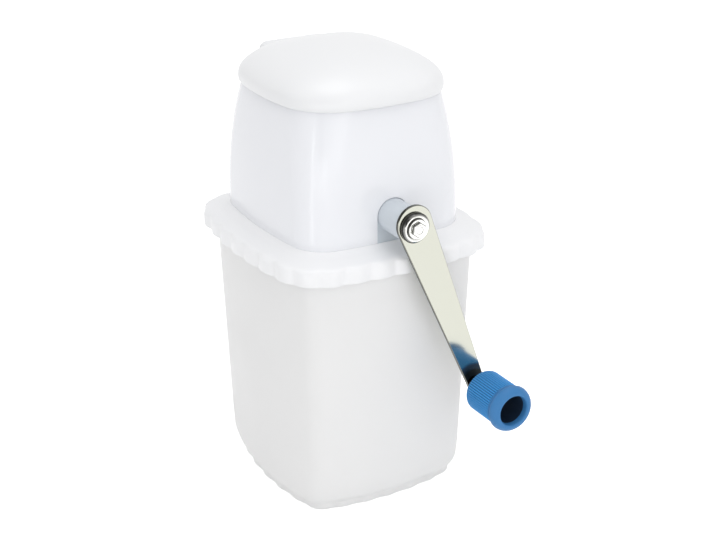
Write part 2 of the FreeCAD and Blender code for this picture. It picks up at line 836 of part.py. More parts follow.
def make_shaft():
    body = new_body("drive_shaft")
    square = sketch_on(body, "YZ_Plane")
    draw_square(square, 0, 0, size("shaft_square"))
    pad(body, square, 2 * square_end, symmetric=True)
    far_end = size("side_play") - size("rear_bore_end")
    journals = sketch_on(body, "YZ_Plane", offset=far_end)
    draw_circle(journals, 0, 0, size("journal_radius"))
    pad(body, journals, size("arm_back") - far_end)
    stub = sketch_on(body, "YZ_Plane", offset=size("arm_back"))
    draw_square(stub, 0, 0, size("arm_square"))
    pad(body, stub, size("arm_thickness") - size("screw_clearance"))
    tapped = sketch_on(body, "YZ_Plane", offset=arm_front - size("bolt_length") - 1)
    draw_bore(tapped, 0, 0, size("bolt_radius") + size("screw_clearance"))
    cut(body, tapped, size("bolt_length") + 2)
    turned_with_crank(body)
    return body


# One hooked claw as (across, out) shares of the breaker's reach, from its foot beyond the
# shaft up the back to the tip and down the throat.
CLAW = ((-0.40, -0.23), (-0.38, 0.22), (-0.30, 0.66), (-0.08, 1.00),
        (0.16, 0.90), (0.10, 0.62), (0.38, 0.22), (0.40, -0.23))


def make_breaker(number):
    body = new_body(f"breaker_{number + 1}")
    reach = size("breaker_reach")
    claw = sketch_on(body, "YZ_Plane")
    draw_polygon(claw, [(reach * across, reach * out) for across, out in CLAW])
    arm = pad(body, claw, size("breaker_thickness"), symmetric=True)
    polar(body, [arm], size("breaker_claws"))
    eye = sketch_on(body, "YZ_Plane")
    draw_square(eye, 0, 0, size("shaft_square") + 2 * size("side_play"))
    cut(body, eye, size("breaker_thickness") + 2, symmetric=True)
    first = -size("breaker_pitch") * (size("breaker_count") - 1) / 2
    turned_with_crank(body, x=first + number * size("breaker_pitch"), turn=90 * number)
    return body


def square_bar(name, start, length, width):
    bar = doc.addObject("Part::Box", name)
    bind(bar, "Length", length)
    bind(bar, "Width", width)
    bind(bar, "Height", width)
    place(bar, x=start, y=-width / 2, z=-width / 2)
    return bar


def round_bar(name, start, length, radius):
    bar = doc.addObject("Part::Cylinder", name)
    bind(bar, "Radius", radius)
    bind(bar, "Height", length)
    place(bar, x=start, turn=90, axis=Vector(0, 1, 0))
    return bar


def make_sleeves(label, make_outside, starts, length, width):
    """Separate equal sleeves on the square of the shaft, kept together as one sub-part."""
    sleeves = []
    for i, start in enumerate(starts):
        sleeve = doc.addObject("Part::Cut", f"{label}_sleeve_{i}")
        sleeve.Base = make_outside(f"{label}_outside_{i}", start, length, width)
        sleeve.Tool = square_bar(f"{label}_eye_{i}", start, length,
                                 size("shaft_square") + 2 * size("side_play"))
        sleeves.append(sleeve)
    group = doc.addObject("Part::Compound", label)
    group.Label = label
    group.Links = sleeves
    turned_with_crank(group)
    return group


def make_rotor_sleeves():
    pitch, thickness = size("breaker_pitch"), size("breaker_thickness")
    play = size("side_play")
    first = -pitch * (size("breaker_count") - 1) / 2
    between = [first + i * pitch + thickness / 2 + play
               for i in range(int(size("breaker_count")) - 1)]
    spacers = make_sleeves("blade_spacers", square_bar, between,
                           pitch - thickness - 2 * play, size("sleeve_width"))
    washer = size("washer_thickness")
    washer_start = square_end - washer
    end_start = thickness / 2 + play - first
    end_length = washer_start - play - end_start
    ends = make_sleeves("end_spacers", square_bar, [end_start, -end_start - end_length],
                        end_length, size("sleeve_width"))
    washers = make_sleeves("thrust_washers", round_bar, [washer_start, -square_end],
                           washer, size("washer_radius"))
    return [spacers, ends, washers]


# ---------------------------------------------------------------- crank

def make_crank_arm():
    body = new_body("crank_arm")
    outline = sketch_on(body, "YZ_Plane", offset=size("arm_back"))
    length = float(size("arm_length"))
    hub, tip = float(size("arm_hub_radius")), float(size("arm_tip_radius"))
    lean = math.asin((hub - tip) / length)
    hub_circle = Part.Circle(Vector(0, 0, 0), Vector(0, 0, 1), hub)
    tip_circle = Part.Circle(Vector(0, -length, 0), Vector(0, 0, 1), tip)
    hub_arc = outline.addGeometry(Part.ArcOfCircle(hub_circle, -lean, math.pi + lean))
    tip_arc = outline.addGeometry(Part.ArcOfCircle(tip_circle, math.pi + lean, 2 * math.pi - lean))
    cos, sin = math.cos(lean), math.sin(lean)
    left = outline.addGeometry(Part.LineSegment(Vector(-hub * cos, -hub * sin, 0),
                                                Vector(-tip * cos, -length - tip * sin, 0)))
    right = outline.addGeometry(Part.LineSegment(Vector(tip * cos, -length - tip * sin, 0),
                                                 Vector(hub * cos, -hub * sin, 0)))
    for here, following in ((hub_arc, left), (left, tip_arc), (tip_arc, right), (right, hub_arc)):
        outline.addConstraint(Sketcher.Constraint("Tangent", here, 2, following, 1))
    pin_point(outline, hub_arc, 3, 0, 0)
    pin_point(outline, tip_arc, 3, 0, -size("arm_length"))
    constrain(outline, "Radius", hub_arc, size("arm_hub_radius"))
    constrain(outline, "Radius", tip_arc, size("arm_tip_radius"))
    pad(body, outline, size("arm_thickness"))
    holes = sketch_on(body, "YZ_Plane", offset=size("arm_back") - 1)
    draw_square(holes, 0, 0, size("arm_square") + 2 * size("screw_clearance"))
    draw_circle(holes, 0, -size("arm_length"), size("knob_pin_radius") + size("screw_clearance"))
    cut(body, holes, size("arm_thickness") + 2)
    turned_with_crank(body)
    return body


def make_crank_washer():
    body = new_body("crank_washer")
    ring = sketch_on(body, "YZ_Plane", offset=arm_front)
    draw_circle(ring, 0, 0, size("crank_washer_radius"))
    draw_bore(ring, 0, 0, size("bolt_radius") + size("screw_clearance"))
    pad(body, ring, size("crank_washer_thickness"))
    turned_with_crank(body)
    return body


def make_crank_bolt():
    body = new_body("crank_bolt")
    head_start = arm_front + size("crank_washer_thickness")
    shank = sketch_on(body, "YZ_Plane", offset=arm_front - size("bolt_length"))
    draw_bore(shank, 0, 0, size("bolt_radius"))
    pad(body, shank, size("bolt_length") + size("crank_washer_thickness"))
    flange = sketch_on(body, "YZ_Plane", offset=head_start)
    draw_circle(flange, 0, 0, size("bolt_flange_radius"))
    pad(body, flange, size("bolt_flange"))
    hexagon = sketch_on(body, "YZ_Plane", offset=head_start + size("bolt_flange"))
    across = size("bolt_hex") / math.sqrt(3)
    draw_polygon(hexagon, [(across * math.cos(math.radians(60 * i)),
                            across * math.sin(math.radians(60 * i))) for i in range(6)])
    pad(body, hexagon, size("bolt_head"))
    turned_with_crank(body)
    return body


def place_at_knob(body):
    """The knob's own X axis lies arm_length from the shaft, in line with the arm."""
    angle = math.radians(float(size("crank_angle")))
    place(body, y=size("arm_length") * math.sin(angle),
          z=size("shaft_height") - size("arm_length") * math.cos(angle),
          turn=size("crank_angle"))


knob_start = arm_front + size("knob_collar") + size("knob_gap")
knob_floor_end = knob_start + size("knob_floor")


def make_knob_pin():
    body = new_body("knob_pin")
    back = size("arm_back")
    collar_end = arm_front + size("knob_collar")
    head_start = knob_floor_end + size("knob_gap")
    head_end = head_start + size("pin_head")
    pin, collar, head = size("knob_pin_radius"), size("knob_collar_radius"), size("pin_head_radius")
    revolve(body, [(back, 0), (back, pin), (arm_front, pin), (arm_front, collar),
                   (collar_end, collar), (collar_end, pin),
                   (head_start, pin), (head_start, head), (head_end, head), (head_end, 0)])
    place_at_knob(body)
    return body


def make_knob():
    """A ribbed sleeve with a plain flared rim, open at its end, that turns on the pin."""
    body = new_body("crank_knob")
    end = knob_start + size("knob_length")
    shoulder_end = knob_start + size("knob_shoulder")
    rim_start = end - size("knob_rim")
    flare_end = rim_start + size("knob_rim_flare")
    valley = size("knob_valley_radius")
    crest = valley + size("knob_rib")
    rim = size("knob_rim_radius")
    narrow = float(size("knob_base_radius")) / float(crest)
    outside = doc.addObject("Part::Fuse", "knob_outside")
    outside.Base = faceted("knob_barrel", [rib_loop(knob_start, valley, crest, narrow),
                                           rib_loop(shoulder_end, valley, crest),
                                           rib_loop(rim_start, valley, crest)])
    outside.Tool = faceted("knob_rim", [ring_loop(rim_start, crest), ring_loop(flare_end, rim),
                                        ring_loop(end, rim)])
    body.BaseFeature = outside
    hole = sketch_on(body, "YZ_Plane", offset=knob_start - 1)
    draw_circle(hole, 0, 0, size("knob_pin_radius") + size("running_clearance"))
    cut(body, hole, size("knob_floor") + 2)
    bore = sketch_on(body, "YZ_Plane", offset=knob_floor_end)
    draw_circle(bore, 0, 0, size("knob_bore"))
    cut(body, bore, size("knob_length"))
    place_at_knob(body)
    return body


def point_about_x(x, radius, angle):
    return Vector(float(x), float(radius) * math.cos(angle), float(radius) * math.sin(angle))


def rib_loop(x, valley, crest, share=1):
    """A closed zigzag of sharp ribs about the X axis."""
    ribs = int(size("knob_ribs"))
    return [point_about_x(x, (crest if step % 2 else valley) * share, math.pi * step / ribs)
            for step in range(2 * ribs)]


def ring_loop(x, radius):
    """A closed ring of flats about the X axis, one for each rib."""
    ribs = int(size("knob_ribs"))
    return [point_about_x(x, radius, 2 * math.pi * (step + 0.5) / ribs) for step in range(ribs)]


# ---------------------------------------------------------------- screws

def make_screws(label, places, head_radius, head_height, radius, length, head_at, head_up):
    """Four equal hexagon-head screws; head_at is the height of the face under the heads."""
    screws = []
    for i, (x, y) in enumerate(places):
        head = doc.addObject("Part::Prism", f"{label}_head_{i}")
        head.Polygon = 6
        shank = doc.addObject("Part::Prism", f"{label}_shank_{i}")
        shank.Polygon = BORE_SIDES
        bind(head, "Circumradius", head_radius)
        bind(head, "Height", head_height)
        bind(shank, "Circumradius", radius)
        bind(shank, "Height", length)
        place(head, x=x, y=y, z=head_at if head_up else head_at - head_height)
        place(shank, x=x, y=y, z=head_at - length if head_up else head_at)
        screw = doc.addObject("Part::Fuse", f"{label}_screw_{i}")
        screw.Base, screw.Tool = head, shank
        screws.append(screw)
    group = doc.addObject("Part::Compound", label)
    group.Label = label
    group.Links = screws
    return group


def make_comb_screws():
    return make_screws("comb_screws", four_corners(size("comb_screw_x"), size("comb_screw_y")),
                       size("comb_screw_head_radius"), size("comb_screw_head"),
                       size("comb_screw_radius"), size("comb_screw_length"), comb_top, True)


def make_collar_screws():
    return make_screws("collar_screws", four_corners(size("post_x"), size("post_y")),
                       size("collar_screw_head_radius"), size("collar_screw_head"),
                       size("collar_screw_radius"), size("collar_screw_length"),
                       size("collar_floor_height"), False)


# ---------------------------------------------------------------- assembly

parts = [make_bin(), make_collar(), make_housing(), make_lid(), make_hinge_pin(),
         make_bush("crank_bush", size("boss_end"), size("boss_end"), 0),
         make_bush("rear_bush", size("rear_boss_end"), size("rear_bore_end"), 180),
         make_funnel(), make_comb("rear_comb", 0), make_comb("front_comb", 180),
         make_comb_screws(), make_collar_screws(), make_shaft(),
         make_crank_arm(), make_crank_washer(), make_crank_bolt(), make_knob_pin(), make_knob()]
parts += [make_breaker(number) for number in range(int(size("breaker_count")))]
parts += make_rotor_sleeves()
doc.recompute()

for item in doc.Objects:
    if "Invalid" in item.State or "Error" in item.State:
        raise RuntimeError(f"{item.Name} did not build: {item.State}")
for part in parts:
    if part.Shape.isNull() or not part.Shape.isValid():
        raise RuntimeError(f"{part.Label} has no valid shape")

os.makedirs("parts", exist_ok=True)
for part in parts:
    part.Shape.exportStep(f"parts/{part.Label}.step")
    print(f"{part.Label:16s} solids {len(part.Shape.Solids)} volume {part.Shape.Volume:10.1f}")
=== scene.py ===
"""A hand-cranked ice crusher on a pale table top.

The shells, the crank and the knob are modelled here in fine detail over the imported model. The
rotor, combs, funnel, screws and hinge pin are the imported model's own, with materials from here.
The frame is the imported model's too: +Z up, +X towards the crank. Shapes are in millimetres.
"""
import math

import bpy
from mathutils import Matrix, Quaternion, Vector


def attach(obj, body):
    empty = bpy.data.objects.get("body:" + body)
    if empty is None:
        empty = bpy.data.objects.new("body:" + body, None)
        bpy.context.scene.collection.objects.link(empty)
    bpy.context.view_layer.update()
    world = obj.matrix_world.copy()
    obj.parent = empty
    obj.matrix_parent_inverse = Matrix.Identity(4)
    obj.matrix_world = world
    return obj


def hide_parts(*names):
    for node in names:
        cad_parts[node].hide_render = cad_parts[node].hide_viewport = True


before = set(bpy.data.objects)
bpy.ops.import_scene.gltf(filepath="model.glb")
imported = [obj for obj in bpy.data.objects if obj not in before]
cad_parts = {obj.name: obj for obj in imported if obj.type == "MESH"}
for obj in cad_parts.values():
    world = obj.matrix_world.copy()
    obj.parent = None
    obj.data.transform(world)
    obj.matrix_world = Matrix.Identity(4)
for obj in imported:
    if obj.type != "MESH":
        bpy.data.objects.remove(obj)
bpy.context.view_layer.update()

MM = 0.001


# ---------------------------------------------------------------- camera

IMAGE_WIDTH = 716
SENSOR_WIDTH = 36
FOCAL_PIXELS = 1480.4
SHIFT_PIXELS = (-16.4, -5.6)
AZIMUTH, ELEVATION = math.radians(60.85), math.radians(22.77)
ROLL = math.radians(-0.57)
AIM = Vector((0, 0, 0.125))
DISTANCE = 0.85
CLIP_START, CLIP_END = 0.01, 50


def make_camera():
    """Stands the camera at DISTANCE from AIM, at the azimuth from -Y and the elevation above."""
    back = Vector((math.sin(AZIMUTH) * math.cos(ELEVATION),
                   -math.cos(AZIMUTH) * math.cos(ELEVATION), math.sin(ELEVATION)))
    turn = back.to_track_quat("Z", "Y") @ Quaternion((0, 0, 1), ROLL)
    camera = bpy.data.objects.new("camera", bpy.data.cameras.new("camera"))
    camera.location = AIM + back * DISTANCE
    camera.rotation_euler = turn.to_euler()
    camera.data.sensor_fit = "HORIZONTAL"
    camera.data.sensor_width = SENSOR_WIDTH
    camera.data.lens = SENSOR_WIDTH * FOCAL_PIXELS / IMAGE_WIDTH
    camera.data.shift_x = -SHIFT_PIXELS[0] / IMAGE_WIDTH
    camera.data.shift_y = SHIFT_PIXELS[1] / IMAGE_WIDTH
    camera.data.clip_start = CLIP_START
    camera.data.clip_end = CLIP_END
    bpy.context.scene.collection.objects.link(camera)
    bpy.context.scene.camera = camera


make_camera()


# ---------------------------------------------------------------- materials

SHADER = "Principled BSDF"


def add_node(tree, kind, operation="", data_type="", **inputs):
    """A new shader node. Its inputs are set by name, with an underscore for a space."""
    node = tree.nodes.new("ShaderNode" + kind)
    if operation:
        node.operation = operation
    if data_type:
        node.data_type = data_type
    for name, value in inputs.items():
        node.inputs[name.replace("_", " ")].default_value = value
    return node


def link(tree, source, output, target, socket):
    tree.links.new(source.outputs[output], target.inputs[socket])


def principled(name, colour, roughness, **sockets):
    material = bpy.data.materials.new(name)
    material.use_nodes = True
    shader = material.node_tree.nodes[SHADER]
    shader.inputs["Base Color"].default_value = (*colour, 1)
    shader.inputs["Roughness"].default_value = roughness
    for socket, value in sockets.items():
        shader.inputs[socket.replace("_", " ")].default_value = value
    return material


# Grain of each finish: scale of its noise, depth in metres, strength, swing of the roughness.
HOUSING_GRAIN = (500, 0.00001, 0.08, 0.02)
LID_GRAIN = (700, 0.00001, 0.06, 0.02)
COLLAR_GRAIN = (700, 0.00001, 0.1, 0.03)
BUSH_GRAIN = (900, 0.00002, 0.2, 0.04)
INNER_GRAIN = (900, 0.00003, 0.3, 0.05)
FROSTED_GRAIN = (1400, 0.00004, 0.35, 0.05)
KNOB_GRAIN = (1600, 0.00002, 0.25, 0.05)
BORE_GRAIN = (1600, 0.00003, 0.3, 0.05)
POLISHED_GRAIN = (300, 0.000002, 0.1, 0.02)
STEEL_GRAIN = (500, 0.00002, 0.2, 0.06)
BRUSHED_GRAIN = (260, 0.00003, 0.4, 0.06)
BRUSHED_STRETCH = (1, 14, 14)

GRAIN_DETAIL = 3
# The gloss changes slowly: the scale of its noise, and the noise's values at both ends.
GLOSS_SCALE = 45
GLOSS_NOISE_LOW, GLOSS_NOISE_HIGH = 0.3, 0.7


def grained(name, colour, roughness, grain, stretch=(1, 1, 1), **sockets):
    """A material with a fine grain in its surface and a slow swing in its gloss, in object
    space. Stretch makes the grain finer along an axis, so that it looks drawn out along the
    others."""
    scale, depth, strength, swing = grain
    material = principled(name, colour, roughness, **sockets)
    tree = material.node_tree
    shader = tree.nodes[SHADER]
    place = add_node(tree, "TexCoord")
    mapping = add_node(tree, "Mapping", Scale=stretch)
    noise = add_node(tree, "TexNoise", Scale=scale, Detail=GRAIN_DETAIL)
    bump = add_node(tree, "Bump", Strength=strength, Distance=depth)
    link(tree, place, "Object", mapping, "Vector")
    link(tree, mapping, "Vector", noise, "Vector")
    link(tree, noise, "Fac", bump, "Height")
    link(tree, bump, "Normal", shader, "Normal")

    patches = add_node(tree, "TexNoise", Scale=GLOSS_SCALE)
    gloss = add_node(tree, "MapRange", From_Min=GLOSS_NOISE_LOW, From_Max=GLOSS_NOISE_HIGH,
                     To_Min=roughness - swing, To_Max=roughness + swing)
    link(tree, place, "Object", patches, "Vector")
    link(tree, patches, "Fac", gloss, "Value")
    link(tree, gloss, "Result", shader, "Roughness")
    return material


def paint_dark_blend(material, dark, source, output, low, high):
    """Paints darkness into a material's colour, for painted shade and painted reflections: it
    blends from dark to the material's own colour as a node's output goes from low to high.
    """
    tree = material.node_tree
    shader = tree.nodes[SHADER]
    own = tuple(shader.inputs["Base Color"].default_value)
    fade = add_node(tree, "MapRange", From_Min=low, From_Max=high)
    mix = add_node(tree, "Mix", data_type="RGBA", A=(*dark, 1), B=own)
    link(tree, source, output, fade, "Value")
    link(tree, fade, "Result", mix, "Factor")
    link(tree, mix, "Result", shader, "Base Color")


def paint_dark_side_reflection(material, dark, low, high):
    """Paints a dark reflection into a metal's colour where its surface turns away from the
    shaft's axis:
    the X part of its normal falls from high to low."""
    tree = material.node_tree
    place = add_node(tree, "TexCoord")
    facing = add_node(tree, "SeparateXYZ")
    size = add_node(tree, "Math", operation="ABSOLUTE")
    link(tree, place, "Normal", facing, "Vector")
    link(tree, facing, "X", size, 0)
    paint_dark_blend(material, dark, size, "Value", low, high)


def paint_groove_shade(material, centre, dark, low, high):
    """Paints shade into the foot of the grooves in a turned piece: dark from high to low
    millimetres away from its axis, which runs along X through centre (y, z)."""
    tree = material.node_tree
    place = add_node(tree, "TexCoord")
    flat = add_node(tree, "VectorMath", operation="MULTIPLY_ADD")
    flat.inputs[1].default_value = (0, 1, 1)
    flat.inputs[2].default_value = (0, -centre[0] * MM, -centre[1] * MM)
    reach = add_node(tree, "VectorMath", operation="LENGTH")
    link(tree, place, "Object", flat, 0)
    link(tree, flat, "Vector", reach, 0)
    paint_dark_blend(material, dark, reach, "Value", low * MM, high * MM)


housing_plastic = grained("housing_plastic", (0.85, 0.86, 0.895), 0.18, HOUSING_GRAIN)
lid_plastic = grained("lid_plastic", (0.848, 0.854, 0.868), 0.3, LID_GRAIN)
collar_plastic = grained("collar_plastic", (0.89, 0.895, 0.91), 0.32, COLLAR_GRAIN)
inner_plastic = grained("inner_plastic", (0.83, 0.845, 0.87), 0.42, INNER_GRAIN)
bush_plastic = grained("bush_plastic", (0.6, 0.65, 0.7), 0.33, BUSH_GRAIN)
washer_plastic = grained("thrust_washer_plastic", (0.82, 0.82, 0.8), 0.45, INNER_GRAIN)
frosted_plastic = grained("frosted_plastic", (0.92, 0.92, 0.92), 0.45, FROSTED_GRAIN,
                          Transmission_Weight=0.12, IOR=1.46)
knob_plastic = grained("knob_plastic", (0.05, 0.3, 0.68), 0.42, KNOB_GRAIN,
                       Specular_IOR_Level=0.3)
# Painted shade: the rim's end is a darker copy of the knob's blue plastic, where less light
# falls.
knob_rim_painted_shade = grained("knob_rim_painted_shade", (0.045, 0.2, 0.46), 0.45, KNOB_GRAIN,
                           Specular_IOR_Level=0.3)
# Painted shade: the knob's back, which faces the arm, is a near-black copy of its blue plastic.
knob_back_painted_shade = grained("knob_back_painted_shade", (0.008, 0.045, 0.13), 0.4, KNOB_GRAIN)
# Painted shade: the bore inside the knob is a near-black copy of its blue plastic.
bore_painted_shade = grained("knob_bore_painted_shade", (0.008, 0.022, 0.05), 0.6, BORE_GRAIN)
arm_metal = grained("arm_metal", (0.54, 0.545, 0.48), 0.12, POLISHED_GRAIN, Metallic=1.0)
bright_metal = grained("bright_metal", (0.84, 0.84, 0.81), 0.1, POLISHED_GRAIN, Metallic=1.0)
steel = grained("steel", (0.6, 0.61, 0.62), 0.3, STEEL_GRAIN, Metallic=1.0)
brushed_metal = grained("brushed_metal", (0.66, 0.67, 0.68), 0.33, BRUSHED_GRAIN,
                        BRUSHED_STRETCH, Metallic=1.0)

# The painted dark reflection on polished sides: the part of the normal along X at which a side is
# fully dark, and fully bright.
SIDE_DARK, SIDE_BRIGHT = 0.6, 0.95
paint_dark_side_reflection(arm_metal, (0.05, 0.05, 0.045), SIDE_DARK, SIDE_BRIGHT)
paint_dark_side_reflection(bright_metal, (0.03, 0.03, 0.03), SIDE_DARK, SIDE_BRIGHT)


# ---------------------------------------------------------------- plans, rings and skins

STEPS_PER_SIDE = 96
EDGE = 0.4
SCALLOP_SOFTNESS = 0.03
RIB_FULLNESS = 0.45


class Plan:
    """A rounded rectangle with bulging sides: four wide arcs and four corner arcs, tangent."""

    def __init__(self, width, depth, bulge, corner):
        self.sizes = (width, depth, bulge, corner)
        self.half_x, self.half_y = width / 2, depth / 2
        side, end = bulge - self.half_x, bulge - self.half_y
        span = math.hypot(side, end)
        away = math.sqrt((bulge - corner) ** 2 - span ** 2 / 4)
        corner_x, corner_y = end / span * away - side / 2, side / span * away - end / 2
        start = math.atan2(corner_y, corner_x + side)
        stop = math.atan2(corner_y + end, corner_x)
        # centre x, centre y, radius, start and end angle of each arc in the +X +Y quarter
        self.arcs = [(-side, 0, bulge, 0, start), (corner_x, corner_y, corner, start, stop),
                     (0, -end, bulge, stop, math.pi / 2)]

    def towards(self, other, share):
        """The plan with each of its sizes a share of the way to another plan's."""
        return Plan(*(a + (b - a) * share for a, b in zip(self.sizes, other.sizes)))

    def lean(self, inwards):
        """The plan made smaller all round, with its corners as round as before."""
        width, depth, bulge, corner = self.sizes
        return Plan(width - 2 * inwards, depth - 2 * inwards, bulge, corner)

    def place(self, station):
        """The point and the outward direction, as (x, y), at a station."""
        sign_x, sign_y, along = station
        number = min(int(along), 2)
        x, y, radius, start, stop = self.arcs[number]
        angle = start + (stop - start) * (along - number)
        out_x, out_y = math.cos(angle), math.sin(angle)
        return ((sign_x * (x + radius * out_x), sign_y * (y + radius * out_y)),
                (sign_x * out_x, sign_y * out_y))

    def stations(self):
        """Even steps along each side, from the middle of its corners. A station is a quarter's
        two signs and a place along its arcs, from 0 on the side to 3 on the end."""
        lengths = [radius * (stop - start) for _, _, radius, start, stop in self.arcs]
        to_side = [(lengths[1] / 2, 1.5, 1), (lengths[0], 1, 0)]
        to_end = [(lengths[1] / 2, 1.5, 2), (lengths[2], 2, 3)]
        half = STEPS_PER_SIDE // 2
        stations = []
        for first, second, runs in (((1, -1), (1, 1), to_side), ((1, 1), (-1, 1), to_end),
                                    ((-1, 1), (-1, -1), to_side), ((-1, -1), (1, -1), to_end)):
            places = [walk(runs, step / half) for step in range(half + 1)]
            stations += [(*first, along) for along in places]
            stations += [(*second, along) for along in reversed(places[1:-1])]
        return stations


def walk(runs, share):
    """The place reached after a share of the whole way along (length, from, to) runs."""
    left = share * sum(length for length, _, _ in runs)
    for length, start, stop in runs:
        if left <= length:
            return start + (stop - start) * left / length
        left -= length
    return runs[-1][2]


def point(x, y, z):
    """A point given in millimetres."""
    return Vector((x, y, z)) * MM


def ring(stations, plan, height, out=0, wave=0, lobes=1, scalloped=False):
    """Points round a plan at a height, moved out along its normals by out and by a wave."""
    points = []
    for i, station in enumerate(stations):
        phase = lobes * i / STEPS_PER_SIDE
        swing = scallop(phase) if scalloped else math.cos(2 * math.pi * phase)
        (x, y), (out_x, out_y) = plan.place(station)
        move = out + wave * swing
        points.append(point(x + move * out_x, y + move * out_y, height))
    return points


def scallop(phase):
    """A wave with broad rounded crests and narrow valleys, from -1 to 1."""
    low = math.sqrt(SCALLOP_SOFTNESS)
    high = math.sqrt(1 + SCALLOP_SOFTNESS)
    value = math.sqrt(math.cos(math.pi * phase) ** 2 + SCALLOP_SOFTNESS)
    return 2 * (value - low) / (high - low) - 1


def skin(rings, closed=False):
    """Vertices and faces over rings of equal length. A lone point at an end is a pole, and
    closed joins the last ring to the first."""
    points, faces, starts = [], [], []
    for loop in rings:
        starts.append(len(points))
        points += loop
    pairs = list(zip(range(len(rings)), range(1, len(rings))))
    if closed:
        pairs.append((len(rings) - 1, 0))
    for low, high in pairs:
        a, b = starts[low], starts[high]
        count = max(len(rings[low]), len(rings[high]))
        for i in range(count):
            j = (i + 1) % count
            if len(rings[low]) == 1:
                faces.append((a, b + j, b + i))
            elif len(rings[high]) == 1:
                faces.append((a + i, a + j, b))
            else:
                faces.append((a + i, a + j, b + j, b + i))
    return points, faces


def turned(profile, centre, steps=96, ribs=0):
    """A turned skin about a line along X through centre (y, z). The profile's rows are
    (x, radius) or (x, radius, rib height), from one end round to the other."""
    y, z = centre
    rings = []
    for x, radius, *rib in profile:
        if radius == 0:
            rings.append([point(x, y, z)])
            continue
        loop = []
        for i in range(steps):
            angle = 2 * math.pi * i / steps
            reach = radius
            if rib:
                reach += rib[0] * abs(math.cos(ribs * angle / 2)) ** RIB_FULLNESS
            loop.append(point(x, y + reach * math.cos(angle), z + reach * math.sin(angle)))
        rings.append(loop)
    return skin(rings)


def arc(centre, radius, start, stop, steps):
    """Points on an arc, its angles in degrees."""
    x, y = centre
    points = []
    for i in range(steps + 1):
        angle = math.radians(start + (stop - start) * i / steps)
        points.append((x + radius * math.cos(angle), y + radius * math.sin(angle)))
    return points


def drawn_in(outline, edge):
    """An anticlockwise outline with each corner moved inwards by edge from both its sides."""
    sharpest = 0.2
    moved = []
    for i, here in enumerate(outline):
        before, after = Vector(outline[i - 1]), Vector(outline[(i + 1) % len(outline)])
        one = (Vector(here) - before).normalized()
        two = (after - Vector(here)).normalized()
        inwards = Vector((-one.y - two.y, one.x + two.x))
        share = max(1 + one.dot(two), sharpest)
        moved.append(Vector(here) + inwards * (edge / share))
    return moved


def prism(outline, low, high, edge=EDGE, axis="z"):
    """A prism with bevelled ends over an anticlockwise outline, seen against the axis."""
    order = {"x": (2, 0, 1), "y": (1, 2, 0), "z": (0, 1, 2)}[axis]
    inner = drawn_in(outline, edge)
    rings = []
    for loop, height in ((inner, low), (outline, low + edge), (outline, high - edge),
                         (inner, high)):
        rings.append([point(*[(a, b, height)[i] for i in order]) for a, b in loop])
    points, faces = skin(rings)
    count = len(outline)
    faces.append(tuple(reversed(range(count))))
    faces.append(tuple(range(3 * count, 4 * count)))
    return points, faces


def block(low_x, high_x, low_y, high_y, low_z, high_z, edge=EDGE):
    """A box with all its edges bevelled."""
    outline = [(low_x + edge, low_y), (high_x - edge, low_y), (high_x, low_y + edge),
               (high_x, high_y - edge), (high_x - edge, high_y), (low_x + edge, high_y),
               (low_x, high_y - edge), (low_x, low_y + edge)]
    return prism(outline, low_z, high_z, edge)


def make_object(name, skins):
    """One object made of the skins."""
    points, faces = [], []
    for more_points, more_faces in skins:
        start = len(points)
        points += more_points
        faces += [tuple(start + i for i in face) for face in more_faces]
    mesh = bpy.data.meshes.new(name)
    mesh.from_pydata(points, [], faces)
    mesh.validate()
    item = bpy.data.objects.new(name, mesh)
    bpy.context.scene.collection.objects.link(item)
    return item


def cut_with(item, tools):
    """Takes the tools' volumes away from an object and deletes them."""
    for tool in tools:
        modifier = item.modifiers.new("cut", "BOOLEAN")
        modifier.operation = "DIFFERENCE"
        modifier.solver = "EXACT"
        modifier.object = tool
    bpy.context.view_layer.update()
    evaluated = item.evaluated_get(bpy.context.evaluated_depsgraph_get())
    mesh = bpy.data.meshes.new_from_object(evaluated)
    item.modifiers.clear()
    item.data = mesh
    for tool in tools:
        bpy.data.objects.remove(tool)


def finish_piece(item, body, material, node, sharp=32):
    """Shades a piece, gives it its material, ties it to its body and hides the node it replaces.
    Edges of more than sharp degrees stay hard."""
    item.data.shade_smooth()
    item.data.set_sharp_from_angle(angle=math.radians(sharp))
    item.data.materials.clear()
    item.data.materials.append(material)
    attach(item, body)
    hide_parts(node)


# ---------------------------------------------------------------- bin

BIN = Plan(133.1, 123.8, 160, 14)
BIN_HEIGHT = 149.6
BIN_WALL = 1.8
BIN_FLOOR = 3.0
FOOT_LEAN = 10.5
FOOT_LOBES = 6

# Below FOOT_TOP the plan changes over a height of FOOT_FADE: it gets less wide, more deep and
# sharper at its corners by these sizes.
FOOT_TOP, FOOT_FADE = 20, 15
FOOT_NARROWER, FOOT_DEEPER, FOOT_SHARPER = 2.6, 1.6, 2

# Outside of the bin from its foot up: height, lean inwards, wave.
BIN_OUTSIDE = [(0.3, 11.3, 0.35), (0.8, 10.8, 0.5), (1.6, 10.5, 0.6), (3.0, 10.45, 0.6),
               (4.2, 10.35, 0.52), (4.9, 10.0, 0.42), (5.5, 9.5, 0.3), (6.2, 8.75, 0.16),
               (7.4, 7.7, 0.06), (9.0, 6.8, 0), (11.0, 6.05, 0), (13.5, 5.5, 0), (16.5, 5.12, 0),
               (20.0, 4.87, 0), (23.0, 4.68, 0), (60, 3.3, 0), (100, 1.83, 0), (140, 0.35, 0)]
# The underside, from the middle out, and the round inner corner of the floor: height, distance
# out from the foot's plan, wave.
BIN_UNDERSIDE = [(0.8, -7, 0), (0, -6.2, 0), (0, -1.6, 0.2)]
BIN_INNER_CORNER = [(4.6, -2.2, 0), (3.6, -3.1, 0), (BIN_FLOOR, -4.6, 0)]
# The inside follows the outside from the height at which the corner ends.
BIN_INSIDE_FROM = 5


